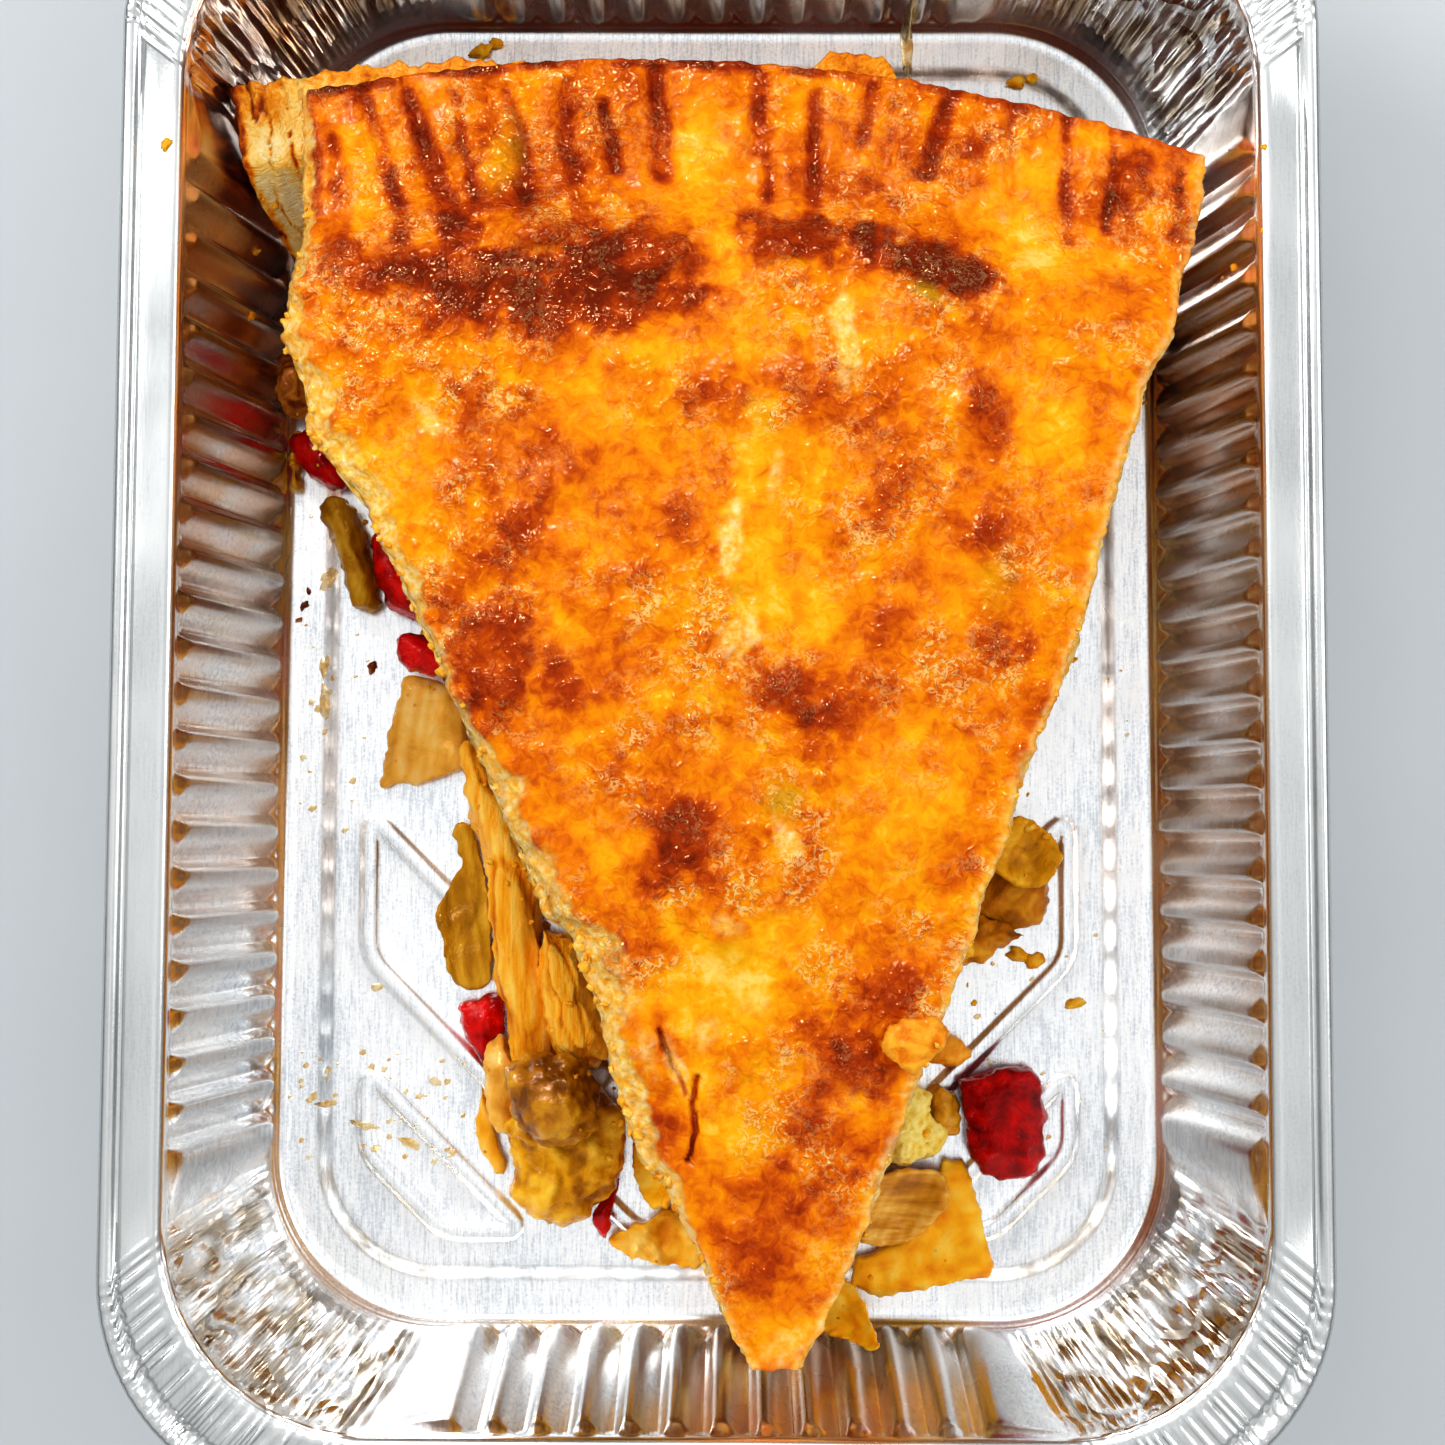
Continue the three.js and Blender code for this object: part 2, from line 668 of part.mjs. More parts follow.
// A thin curved petal or leaf over an outline. Both faces are split into the same triangles and wave alike.
function petal({ outline, base, thick, cup, wave, seed, rise, count, tension = 0.4 }) {
  return (grow) => {
    const skin = new Skin();
    const edge = outlinePoints(outline, count, tension);
    const middle = edge.reduce((sum, p) => sum.add(p), new THREE.Vector3()).divideScalar(edge.length);
    const shares = [1, 0.62, 0.28];
    const face = (height, spread) => {
      const rows = shares.map((share, k) => skin.row(edge.map((p, i) => {
        const reach = p.clone().sub(middle).multiplyScalar(share);
        if (k === 0) reach.setLength(reach.length() + grow);
        const [x, y] = [middle.x + reach.x, middle.y + reach.y];
        const lift = rise[0] * reach.x + rise[1] * reach.y;
        const curl = cup * share * share + wave * share * Math.sin((i / count) * Math.PI * 6 + seed);
        return { x, y, z: base + Math.max(0, curl) + lift + height + spread, u: i / count };
      })));
      return rows;
    };
    const low = face(0, -grow);
    const high = face(thick, grow);
    for (let k = 1; k < shares.length; k += 1) {
      skin.stitch(low[k - 1], low[k], true);
      skin.stitch(high[k], high[k - 1], true);
    }
    skin.stitch(high[0], low[0], true);
    skin.fan(low[2], { x: middle.x, y: middle.y, z: base - grow }, true);
    skin.fan(high[2], { x: middle.x, y: middle.y, z: base + thick + grow }, false);
    return skin.geometry();
  };
}

// A bunch of small round florets that have grown together.
function florets({ places, radius, base }) {
  return (grow) => {
    const balls = places.map(([x, y, z, size], i) => {
      const ball = new THREE.IcosahedronGeometry(radius * size + grow, 1);
      ball.scale(1, 1, 0.85).rotateZ(i).translate(x, y, base + z);
      return toSolid(ball);
    });
    return toGeometry(balls.reduce((sum, ball) => sum.add(ball)));
  };
}

const LEFT_PIECES = [
  ['crust_shard', COLOURS.darkFlake, morsel({
    outline: [[-63.4, 42.6], [-60.6, 43.6], [-58.8, 41], [-58.9, 36], [-60.6, 34.4], [-62.6, 36.4]],
    base: ON_PANEL, thick: 10, crown: 1.4, rough: 1.2, seed: 4 })],
  ['red_pepper_a', COLOURS.redPepper, morsel({
    outline: [[-62.2, 32.6], [-57.2, 33.8], [-54, 29.4], [-53.6, 24.6], [-57.4, 25.2], [-60.8, 27.8]],
    base: ON_PANEL, thick: 5.4, crown: 0.4, rough: 0.4, seed: 5 })],
  ['vegetable_scrap', COLOURS.mustard, morsel({
    outline: [[-61.9, 31.6], [-61.3, 28.4], [-60.4, 25.4], [-61.4, 24.2], [-62.2, 27.5]],
    base: ON_BAND + 0.8, thick: 3.2, crown: 0.3, rough: 0.3, seed: 6, count: 10 })],
  ['green_vegetable', COLOURS.greenVeg, morsel({
    outline: [[-57.9, 22.4], [-54.6, 24.4], [-51.6, 20.4], [-49.4, 12], [-49.4, 6.8], [-52.6, 7.4],
      [-54.2, 13], [-56.6, 17.4]],
    base: ON_RIBS, thick: 4.4, crown: 1.2, rough: 0.8, seed: 7, count: 16 })],
  ['red_pepper_b', COLOURS.redPepper, morsel({
    outline: [[-50.6, 15.4], [-48.2, 18.8], [-44.8, 14], [-41, 7.6], [-43.6, 5.4], [-47.4, 7.4], [-49.2, 11]],
    base: ON_RIBS, thick: 5.6, crown: 0.6, rough: 0.4, seed: 8 })],
  ['onion_slab_a', COLOURS.onion, morsel({
    outline: [[-45.6, -2], [-41.4, -2.2], [-36.6, -5], [-35.8, -14.8], [-41.6, -17.6], [-48.4, -18.4],
      [-47.2, -11]],
    base: ON_RIBS, thick: 3, crown: 0.3, rough: 0.3, seed: 9, rise: [0.12, 0], tension: 0.12, count: 18 })],
  ['red_pepper_c', COLOURS.darkPepper, morsel({
    outline: [[-46.2, 2.6], [-43.6, 4], [-38.6, 2.6], [-37.4, -2.6], [-42, -2.4], [-45.4, -0.4]],
    base: ON_RIBS + 3.9, thick: 4.6, crown: 0.6, rough: 0.5, seed: 10 })],
  ['chicken_strip', COLOURS.chicken, strip({
    spine: [[-36.2, -12, 1.6, 6], [-33.4, -19, 2.8, 9], [-28.8, -30, 3.8, 12], [-28.2, -41, 3.6, 12],
      [-26.4, -51, 3.6, 11], [-25.4, -57, 3.2, 9]],
    base: ON_RIBS, rough: 1.2, seed: 11 })],
  ['chicken_chunk', COLOURS.chicken, morsel({
    outline: [[-24.6, -37.6], [-19.6, -39.6], [-16.2, -46], [-14.4, -54.6], [-18.4, -57.6], [-22.6, -56.8],
      [-24.2, -50], [-25, -43.6]],
    base: ON_RIBS, thick: 13, crown: 1, rough: 1.1, seed: 12, count: 16 })],
  ['vegetable_leaf', COLOURS.greenVeg, petal({
    outline: [[-37.8, -23.4], [-35.2, -23.8], [-33.5, -29], [-32.6, -34], [-32.2, -41], [-32.4, -46.4],
      [-34.4, -47.2], [-38.6, -44.6], [-39.2, -41.4], [-38.8, -39.4], [-40.8, -37.2], [-38.2, -31.2],
      [-36.4, -28.6]],
    base: ON_RIBS, thick: 1.5, cup: 1.2, wave: 0.6, seed: 2, rise: [0.1, 0], count: 20 })],
  ['red_pepper_d', COLOURS.redPepper, morsel({
    outline: [[-36.8, -49.4], [-34, -47.8], [-30.8, -47.6], [-29.6, -52.6], [-32, -54], [-33.2, -58],
      [-34.6, -54.8]],
    base: ON_RIBS, thick: 5, crown: 0.3, rough: 0.3, seed: 13, tension: 0.15 })],
  ['onion_slab_b', COLOURS.onion, morsel({
    outline: [[-32.6, -54], [-29.4, -53.2], [-27.4, -58], [-27.8, -65.6], [-31, -67.2], [-33, -62]],
    base: ON_RIBS, thick: 7.6, crown: 0.4, rough: 0.3, seed: 14 })],
  ['onion_shred', COLOURS.onion, morsel({
    outline: [[-33.8, -60], [-32.4, -61], [-31.6, -67], [-29.4, -72], [-30.8, -73.4], [-33.4, -70.2],
      [-34.4, -65]],
    base: ON_RIBS, thick: 1.8, crown: 0.2, rough: 0.2, seed: 15, count: 12 })],
  ['vegetable_chunk_top', COLOURS.brownOnion, morsel({
    outline: [[-28.6, -57.4], [-24, -54.4], [-18.4, -55.4], [-16, -60.4], [-17.6, -66.4], [-24, -68],
      [-28.4, -64]],
    base: ON_RIBS + 9.6, thick: 6, crown: 2.4, rough: 1, seed: 16, count: 16 })],
  ['vegetable_chunk', COLOURS.mustard, morsel({
    outline: [[-28.6, -60], [-22, -58.6], [-15.6, -60.6], [-12.8, -66.4], [-14, -73.4], [-18.6, -78.4],
      [-24, -79.2], [-28.6, -74.4], [-29.8, -67]],
    base: ON_RIBS, thick: 9, crown: 1.4, rough: 1.6, seed: 17, count: 20 })],
  ['pepper_sliver', COLOURS.redPepper, morsel({
    outline: [[-18.4, -78.8], [-16.4, -74.4], [-13.9, -72.6], [-14.2, -76.4], [-16, -81.8]],
    base: ON_RIBS, thick: 4, crown: 0.4, rough: 0.2, seed: 18, count: 10 })],
  ['onion_skin', COLOURS.brownOnion, petal({
    outline: [[-12.4, -68.4], [-9.6, -66.6], [-5.4, -69], [-5.2, -74.6], [-9.2, -76.6], [-12, -73]],
    base: ON_RIBS + 3.6, thick: 1.6, cup: 1.2, wave: 0.5, seed: 3, rise: [1, 0], count: 12 })],
  ['onion_piece', COLOURS.onion, petal({
    outline: [[-15, -80.8], [-10.4, -79.8], [-8, -77.2], [-4.6, -79], [-1.8, -83], [-2.4, -85.6],
      [-7.9, -85.4], [-11.6, -84], [-14.6, -83.6]],
    base: ON_RIBS, thick: 2, cup: 0.8, wave: 0.5, seed: 5, rise: [0, 0], count: 16 })],
];

const RIGHT_PIECES = [
  ['onion_heap_upper', COLOURS.mustard, petal({
    outline: [[39.6, -22.6], [44.8, -22.8], [48.4, -26.6], [46.6, -31], [41.4, -31.6], [37.6, -28.4]],
    base: ON_RIBS + 4.4, thick: 2.4, cup: 1.4, wave: 0.6, seed: 7, rise: [-0.22, 0], count: 14 })],
  ['onion_heap_middle', COLOURS.greenVeg, morsel({
    outline: [[38, -29.6], [43.6, -27.4], [47.4, -30], [45.6, -37.4], [40.4, -38.6], [36, -34.6]],
    base: ON_RIBS, thick: 3.4, crown: 0.7, rough: 0.6, seed: 21 })],
  ['onion_heap_lower', COLOURS.brownOnion, morsel({
    outline: [[36.4, -35.4], [41.4, -36.8], [44.4, -38.6], [41.6, -40.2], [36.6, -43.4], [31.8, -43.2],
      [31.6, -38.8]],
    base: ON_RIBS, thick: 4.6, crown: 0.6, rough: 0.6, seed: 22 })],
  ['crust_fragment', COLOURS.flake, morsel({
    outline: [[28.8, -54.8], [31.6, -53], [34.2, -53.2], [36, -55.4], [34.6, -57.4], [31.4, -57.8]],
    base: ON_RIBS, thick: 3.8, crown: 0.5, rough: 0.6, seed: 23, count: 12 })],
  ['red_pepper_e', COLOURS.darkPepper, morsel({
    outline: [[34, -59.2], [39.8, -57.4], [45.6, -57.4], [46.2, -65], [45.6, -72.2], [40, -73.4],
      [36.2, -71.4], [34.8, -64.8]],
    base: ON_RIBS, thick: 5.4, crown: 0.3, rough: 0.3, seed: 24, tension: 0.12, count: 18 })],
  ['vegetable_bit', COLOURS.brownOnion, morsel({
    outline: [[29.8, -60.4], [33, -60.6], [34.2, -64.4], [33.6, -67.2], [30.4, -65.4]],
    base: ON_RIBS, thick: 4.4, crown: 0.6, rough: 0.6, seed: 25, count: 10 })],
  ['cauliflower', COLOURS.paleVeg, florets({
    places: [[27.2, -62.8, 3.8, 1.1], [26, -67.4, 4.4, 1.2], [29.4, -67.2, 3.2, 1]],
    radius: 3, base: ON_RIBS })],
  ['onion_petal_a', COLOURS.onion, petal({
    outline: [[23, -72.2], [30, -71.2], [32.4, -73.2], [31.8, -76.4], [28.6, -80.6], [24.4, -82],
      [19.8, -81.4], [20.6, -76.4]],
    base: ON_RIBS + 2.6, thick: 1.8, cup: 1.6, wave: 0.3, seed: 8, rise: [-0.12, 0.05], count: 16 })],
  ['onion_slab_c', COLOURS.onion, morsel({
    outline: [[31.6, -70.8], [35, -70.6], [37.2, -78], [39.4, -86.4], [33, -88], [24, -89.8], [18.8, -88.6],
      [19.6, -84.4], [27, -80.6]],
    base: ON_RIBS, thick: 2.4, crown: 0.2, rough: 0.3, seed: 26, tension: 0.2, count: 20 })],
  ['onion_petal_b', COLOURS.onion, petal({
    outline: [[17.6, -87], [20.8, -90.4], [21.8, -93.2], [22.4, -95.6], [17.2, -93.8], [12.6, -91.6]],
    base: ON_RIBS + 5.6, thick: 1.6, cup: 0.6, wave: 0.3, seed: 9, rise: [0.1, -1.2], count: 12 })],
];

// A flake of crust that has come away and lies on the right edge of the upper crust.
const FLAKE = ['crust_flake', COLOURS.flake, morsel({
  outline: [[20.6, -51.4], [25.6, -48], [28.4, -49], [30, -51], [26.6, -53.8], [25.4, -55.4], [22.8, -53.8]],
  base: SLICE.middleTop + 0.6, thick: 1.4, crown: 0.5, rough: 0.4, seed: 27, count: 12 })];

// ---------------------------------------------------------------- assembly

const meal = new THREE.Group();

function addMesh(name, colour, geometry, finish = {}) {
  geometry.computeVertexNormals();
  const look = { color: colour, roughness: 0.45, metalness: 0, ...finish };
  const material = new THREE.MeshStandardMaterial(look);
  const mesh = new THREE.Mesh(geometry, material);
  mesh.name = name;
  meal.add(mesh);
}

// Loose pieces keep clear of the slice and of each other: each is cut back from what was placed before it.
const placed = [];

function addFood(name, colour, build, finish) {
  let solid = toSolid(build(0));
  const box = solid.boundingBox();
  for (const other of placed) {
    const { min, max } = other.box;
    const apart = [0, 1, 2].some((axis) => box.min[axis] > max[axis] || box.max[axis] < min[axis]);
    if (!apart) solid = solid.subtract(other.solid);
  }
  const bodies = solid.decompose().sort((a, b) => b.volume() - a.volume());
  const grown = toSolid(build(GAP));
  placed.push({ solid: grown, box: grown.boundingBox() });
  addMesh(name, colour, toGeometry(bodies[0]), finish);
}

addMesh('foil_tray', COLOURS.foil, foilTray(), { roughness: 0.25, metalness: 1 });
addFood('pie_top_crust', COLOURS.crust, topCrust, { roughness: 0.35 });
addFood('pie_filling', COLOURS.filling, filling);
addFood('pie_bottom_crust', COLOURS.base, bottomCrust, { roughness: 0.7 });
for (const [name, colour, build] of [...LEFT_PIECES, ...RIGHT_PIECES, FLAKE]) addFood(name, colour, build);

export default meal;
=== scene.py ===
import math

import bmesh
import bpy
import numpy as np
from mathutils import Matrix
from mathutils.geometry import delaunay_2d_cdt


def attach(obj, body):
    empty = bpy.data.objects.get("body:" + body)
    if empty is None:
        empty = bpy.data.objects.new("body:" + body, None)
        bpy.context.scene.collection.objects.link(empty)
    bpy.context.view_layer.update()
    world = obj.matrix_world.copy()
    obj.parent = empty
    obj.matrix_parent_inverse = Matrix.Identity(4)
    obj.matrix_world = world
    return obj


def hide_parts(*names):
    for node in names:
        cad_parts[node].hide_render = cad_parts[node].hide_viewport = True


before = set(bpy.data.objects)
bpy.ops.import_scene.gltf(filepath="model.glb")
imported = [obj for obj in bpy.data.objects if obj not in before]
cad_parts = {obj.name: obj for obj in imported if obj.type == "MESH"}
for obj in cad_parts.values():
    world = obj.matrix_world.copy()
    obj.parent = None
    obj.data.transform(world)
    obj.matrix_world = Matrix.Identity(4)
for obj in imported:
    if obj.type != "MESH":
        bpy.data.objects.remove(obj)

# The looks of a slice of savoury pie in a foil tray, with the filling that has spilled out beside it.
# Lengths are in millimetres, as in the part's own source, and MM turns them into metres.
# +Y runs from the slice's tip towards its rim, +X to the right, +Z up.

MM = 0.001
FAR, TINY = 1e9, 1e-6
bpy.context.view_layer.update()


# Unnamed numbers in the noise formulas are sizes in millimetres and shares of a height.

# ---------------------------------------------------------------- small mathematics

def lerp(a, b, f):
    return a + (b - a) * f


def joined(*parts):
    """Coordinates, numbers or arrays of them, joined into points."""
    return np.stack(np.broadcast_arrays(*parts), axis=-1)


def smooth(start, stop, x):
    f = np.clip((x - start) / (stop - start), 0.0, 1.0)
    return f * f * (3 - 2 * f)


class Noise:
    """Gradient noise over space, in about [-1, 1], with one feature per unit."""

    def __init__(self, seed):
        rng = np.random.default_rng(seed)
        self.order = rng.permutation(256)
        slopes = rng.normal(size=(256, 3))
        self.slopes = slopes / np.linalg.norm(slopes, axis=1, keepdims=True)

    def __call__(self, points):
        cell = np.floor(points).astype(int)
        inside = points - cell
        weight = inside ** 3 * (inside * (inside * 6 - 15) + 10)
        total = 0.0
        for step in np.ndindex(2, 2, 2):
            at = (cell + step) & 255
            pick = 0
            for axis in range(3):
                pick = self.order[(pick + at[..., axis]) & 255]
            slope = ((inside - step) * self.slopes[pick]).sum(-1)
            total = total + slope * np.prod(np.where(step, weight, 1 - weight), axis=-1)
        return total * 1.6

    def layers(self, points, count, keep=0.5):
        """Noise summed over finer and finer layers."""
        return sum(self(points * 2.03 ** i + 17.1 * i) * keep ** i for i in range(count))

    def ridges(self, points, count=1, keep=0.5):
        """Sharp crests, in about [-1, 1]."""
        layers = ((1 - 2 * np.abs(self(points * 2.07 ** i + 9.3 * i))) * keep ** i for i in range(count))
        return sum(layers)


BROAD, FINE, GRAIN, WARP = (Noise(seed) for seed in (11, 12, 13, 14))


def warped(points, size, reach, seed_shift=0.0):
    """Points in units of size, pushed about by up to reach sizes, so that what is read there curls."""
    scaled = points / size
    push = (WARP(scaled * 0.6 + shift + seed_shift) for shift in (0.0, 31.7, 63.1))
    return scaled + reach * joined(*push)


def spot(points, centre, radii, turn, edge, wobble):
    """How far points are inside an uneven ellipse seen from above: 1 inside, 0 outside."""
    x, y = points[..., 0] - centre[0], points[..., 1] - centre[1]
    angle = math.radians(turn)
    along = (x * math.cos(angle) + y * math.sin(angle)) / radii[0]
    across = (y * math.cos(angle) - x * math.sin(angle)) / radii[1]
    reach = np.hypot(along, across)
    if wobble:
        flat = points * [1, 1, 0]
        reach = reach + wobble * (BROAD(flat / 4.3) + 0.6 * FINE(flat / 1.7))
    return 1 - smooth(*edge, reach)


def spots(points, table, inner, outer, wobble=0.0):
    """The strength of each of a table's ellipses at the points. Each row has the centre, radii, turn and
    strength of one, and in some tables also how far out its middle reaches."""
    for x, y, along, across, turn, strength, *reach in table:
        start = inner * reach[0] if reach else inner
        yield strength * spot(points, (x, y), (along, across), turn, (start, outer), wobble)


def to_line(points, start, stop):
    """Distance from points to a straight piece of line, and the share along it, seen from above."""
    start, stop = np.array(start, float), np.array(stop, float)
    run = stop - start
    share = np.clip(((points[..., :2] - start) @ run) / (run @ run), 0, 1)
    nearest = start + share[..., None] * run
    return np.linalg.norm(points[..., :2] - nearest, axis=-1), share


# ---------------------------------------------------------------- meshes

def add_object(name, mesh, material, slot, *nodes):
    """Puts a finished mesh in the scene, in place of the solids it stands for."""
    piece = bpy.data.objects.new(name, mesh)
    bpy.context.scene.collection.objects.link(piece)
    mesh.materials.append(material)
    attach(piece, "root")
    if nodes:
        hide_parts(*nodes)
    return piece


def make_mesh(name, points, faces, fields=None):
    """A smooth-shaded mesh from points in millimetres, arrays of three- or four-cornered faces and fields."""
    mesh = bpy.data.meshes.new(name)
    mesh.vertices.add(len(points))
    mesh.vertices.foreach_set("co", (np.asarray(points) * MM).astype(np.float32).ravel())
    corners = np.concatenate([np.asarray(part).ravel() for part in faces]).astype(np.int32)
    sizes = np.concatenate([np.full(len(part), np.asarray(part).shape[1]) for part in faces])
    starts = np.concatenate([[0], np.cumsum(sizes)[:-1]]).astype(np.int32)
    mesh.loops.add(len(corners))
    mesh.loops.foreach_set("vertex_index", corners)
    mesh.polygons.add(len(sizes))
    mesh.polygons.foreach_set("loop_start", starts)
    mesh.polygons.foreach_set("use_smooth", np.ones(len(sizes), bool))
    mesh.update(calc_edges=True)
    mesh.validate()
    for field, values in (fields or {}).items():
        values = np.asarray(values, np.float32)
        kind, key = ("FLOAT_COLOR", "color") if values.ndim > 1 else ("FLOAT", "value")
        layer = mesh.attributes.new(field, kind, "POINT")
        layer.data.foreach_set(key, values.ravel())
    return mesh


def loop_faces(rows, columns):
    """Four-cornered faces between rows of points that each run round a closed loop."""
    first = np.arange(rows - 1)[:, None] * columns + np.arange(columns)[None]
    second = np.arange(rows - 1)[:, None] * columns + (np.arange(columns)[None] + 1) % columns
    return np.stack([first, second, second + columns, first + columns], axis=-1).reshape(-1, 4)


def zip_chains(a, share_a, b, share_b):
    """Triangles between two chains of point numbers that run the same way, by their shares."""
    faces = []
    i = j = 0
    while i < len(a) - 1 or j < len(b) - 1:
        next_a = share_a[i + 1] if i < len(a) - 1 else math.inf
        next_b = share_b[j + 1] if j < len(b) - 1 else math.inf
        if next_a <= next_b:
            triangle = (a[i], a[i + 1], b[j])
            i += 1
        else:
            triangle = (a[i], b[j + 1], b[j])
            j += 1
        if len(set(triangle)) == 3:
            faces.append(triangle)
    return np.array(faces)


def fill_outline(outline, inner):
    """Triangles that fill an outline seen from above, and the points that they use: outline first."""
    count = len(outline)
    edges = [(i, (i + 1) % count) for i in range(count)]
    flat = [tuple(map(float, p)) for p in outline] + [tuple(map(float, p)) for p in inner]
    points, _, faces, source, _, _ = delaunay_2d_cdt(flat, edges, [], 1, 1e-4)
    new_number = {old: new for new, olds in enumerate(source) for old in olds}
    order = [new_number[i] for i in range(count)]
    rest = sorted(set(range(len(points))) - set(order))
    place = {number: k for k, number in enumerate(order + rest)}
    kept = np.array([points[number] for number in order + rest])
    return kept, np.array([[place[corner] for corner in face] for face in faces])


# ---------------------------------------------------------------- materials

def srgb(*rgb):
    """A colour as seen on screen, 0 to 255, in the linear values that shaders use."""
    c = np.array(rgb) / 255
    linear = np.where(c <= 0.04045, c / 12.92, ((c + 0.055) / 1.055) ** 2.4)
    return (*linear.tolist(), 1.0)


def fill_band(band, stops):
    """Gives a colour ramp its (place, colour) stops."""
    while len(band.elements) < len(stops):
        band.elements.new(0.5)
    for element, (place, colour) in zip(band.elements, stops):
        element.position = place
        element.color = colour


class Shader:
    """A material's node tree, with short ways to add and link nodes."""

    def __init__(self, name, **finish):
        self.material = bpy.data.materials.new(name)
        self.material.use_nodes = True
        self.tree = self.material.node_tree
        self.surface = next(n for n in self.tree.nodes if n.type == "BSDF_PRINCIPLED")
        self.set(**finish)

    def set(self, **values):
        """Sets or links the surface's sockets, named with _ for a space."""
        for key, value in values.items():
            self.give(self.surface.inputs[key.replace("_", " ").title().replace("Ior", "IOR")], value)

    def give(self, socket, value):
        if isinstance(value, bpy.types.NodeSocket):
            self.tree.links.new(value, socket)
        else:
            socket.default_value = value

    def node(self, kind, out=0, props=None, **inputs):
        made = self.tree.nodes.new("ShaderNode" + kind)
        for key, value in (props or {}).items():
            setattr(made, key, value)
        for key, value in inputs.items():
            index = int(key[1:]) if key[0] == "_" else key.replace("_", " ").title()
            self.give(made.inputs[index], value)
        return made.outputs[out]

    def place(self, size, stretch=(1, 1, 1)):
        """Object coordinates in units of size millimetres, or less along stretched directions."""
        where = self.node("TexCoord", 3)
        scale = [1 / (size * s * MM) for s in stretch]
        return self.node("Mapping", Vector=where, Scale=scale)

    def noise(self, size, detail=3, rough=0.55, stretch=(1, 1, 1), distort=0.0):
        where = self.place(size, stretch)
        return self.node("TexNoise", Vector=where, Scale=1.0, Detail=detail, Roughness=rough,
                         Distortion=distort)

    def ridges(self, size, detail=2, stretch=(1, 1, 1), distort=0.0):
        """Fine crests: 1 on them, falling to 0 between."""
        level = self.noise(size, detail, 0.5, stretch, distort)
        away = self.math("ABSOLUTE", self.math("SUBTRACT", level, 0.5))
        return self.math("SUBTRACT", 1.0, self.times(away, 5.0), clamp=True)

    def cells(self, size):
        return self.node("TexVoronoi", Vector=self.place(size), Scale=1.0)

    def field(self, name, out=2):
        return self.node("Attribute", out, {"attribute_name": name})

    def math(self, kind, a, b=0.5, clamp=False):
        return self.node("Math", 0, {"operation": kind, "use_clamp": clamp}, _0=a, _1=b)

    def plus(self, a, b):
        return self.math("ADD", a, b)

    def times(self, a, b):
        return self.math("MULTIPLY", a, b)

    def remap(self, value, low, high, to_low=0.0, to_high=1.0):
        return self.node("MapRange", 0, {"clamp": True}, _0=value, _1=low, _2=high, _3=to_low, _4=to_high)

    def ramp(self, value, *stops):
        """A colour for a value from (place, colour) stops."""
        output = self.node("ValToRGB", _0=value)
        fill_band(output.node.color_ramp, stops)
        return output

    def mix(self, factor, a, b, blend="MIX"):
        made = self.tree.nodes.new("ShaderNodeMix")
        made.data_type = "RGBA"
        made.blend_type = blend
        for index, value in ((0, factor), (6, a), (7, b)):
            self.give(made.inputs[index], value)
        return made.outputs[2]

    def bump(self, height, depth, strength=1.0, over=None):
        """A normal from a height between 0 and 1 that stands for depth millimetres, over another normal."""
        beneath = {} if over is None else {"Normal": over}
        return self.node("Bump", Height=height, Strength=strength, Distance=depth * MM, **beneath)


# ---------------------------------------------------------------- the foil tray

TRAY_HEIGHT, FOIL = 41.0, 0.5
# Width, length and corner radius of the outer edge, of the opening and of the floor.
EDGE = np.array([157.0, 218.6, 28.5])
OPENING = np.array([140.7, 201.6, 26.3])
FLOOR = np.array([126.8, 188.6, 24.0])
NECK_FROM = 37.4
NECK_TOP, NECK_ROUND = 39.1, 1.3
BEAD_RADIUS = 1.1
FLUTE_DEPTH = 1.15
# How many flutes a long side and a short side have, and how far apart they are.
FLUTES = {True: (22, 6.0), False: (12, 5.8)}
# One flute and one pleat as (share along it, how far it stands out), and how many pleats a corner has.
FLUTE_WAVE = ((0, -1), (0.05, -1), (0.14, -0.94), (0.22, -0.8), (0.36, -0.25), (0.5, 0.32), (0.62, 0.78),
              (0.7, 0.98), (0.76, 1), (0.87, 0))
PLEATS_PER_CORNER = 27
PLEAT_WAVE = ((0, -1), (0.28, 0.1), (0.5, 1), (0.78, -0.1))
BAND_WIDTH, STEP_RUN, PANEL_RISE = 5.9, 2.6, 1.0
PANEL_INSET = BAND_WIDTH + STEP_RUN
PANEL_LIP = 0.8
PANEL_TOP = FOIL + PANEL_RISE
RIB_WIDTH, RIB_RISE = 2.5, 0.42

# Heights of the wall's rings, inside from the foot up and outside from the neck down.
INNER_HEIGHTS = (1.75, 2.3, 3.0, 4, 5.4, 7.2, 9.4, 11.6, 14, 16.4, 18.8, 21.2, 23.6, 26, 28.4, 30.6, 32.8,
                 34.4, 35.6, 36.5, 37.5)
OUTER_HEIGHTS = (37.2, 30, 21, 12, 5, 2.1)
# The step up to the floor panel, as (share across it, share of its rise), and the wall's foot below the
# first of its rings, as (distance inside the wall, height).
STEP = ((-PANEL_LIP / STEP_RUN, 1), (0, 1), (0.15, 0.96), (0.5, 0.5), (0.85, 0.04), (1, 0), (1.15, 0))
FOOT = ((4.0, 0), (2.6, 0), (1.5, 0), (0.95, 0.16), (0.4, 0.6), (0.05, 1.1))
# The flange's rings on top, as (share of its width, drop), to where the foil dips before the bead.
FLANGE = ((0.22, 0), (0.42, 0), (0.6, 0), (0.64, 0.05), (0.67, 0.4), (0.72, 0.42))
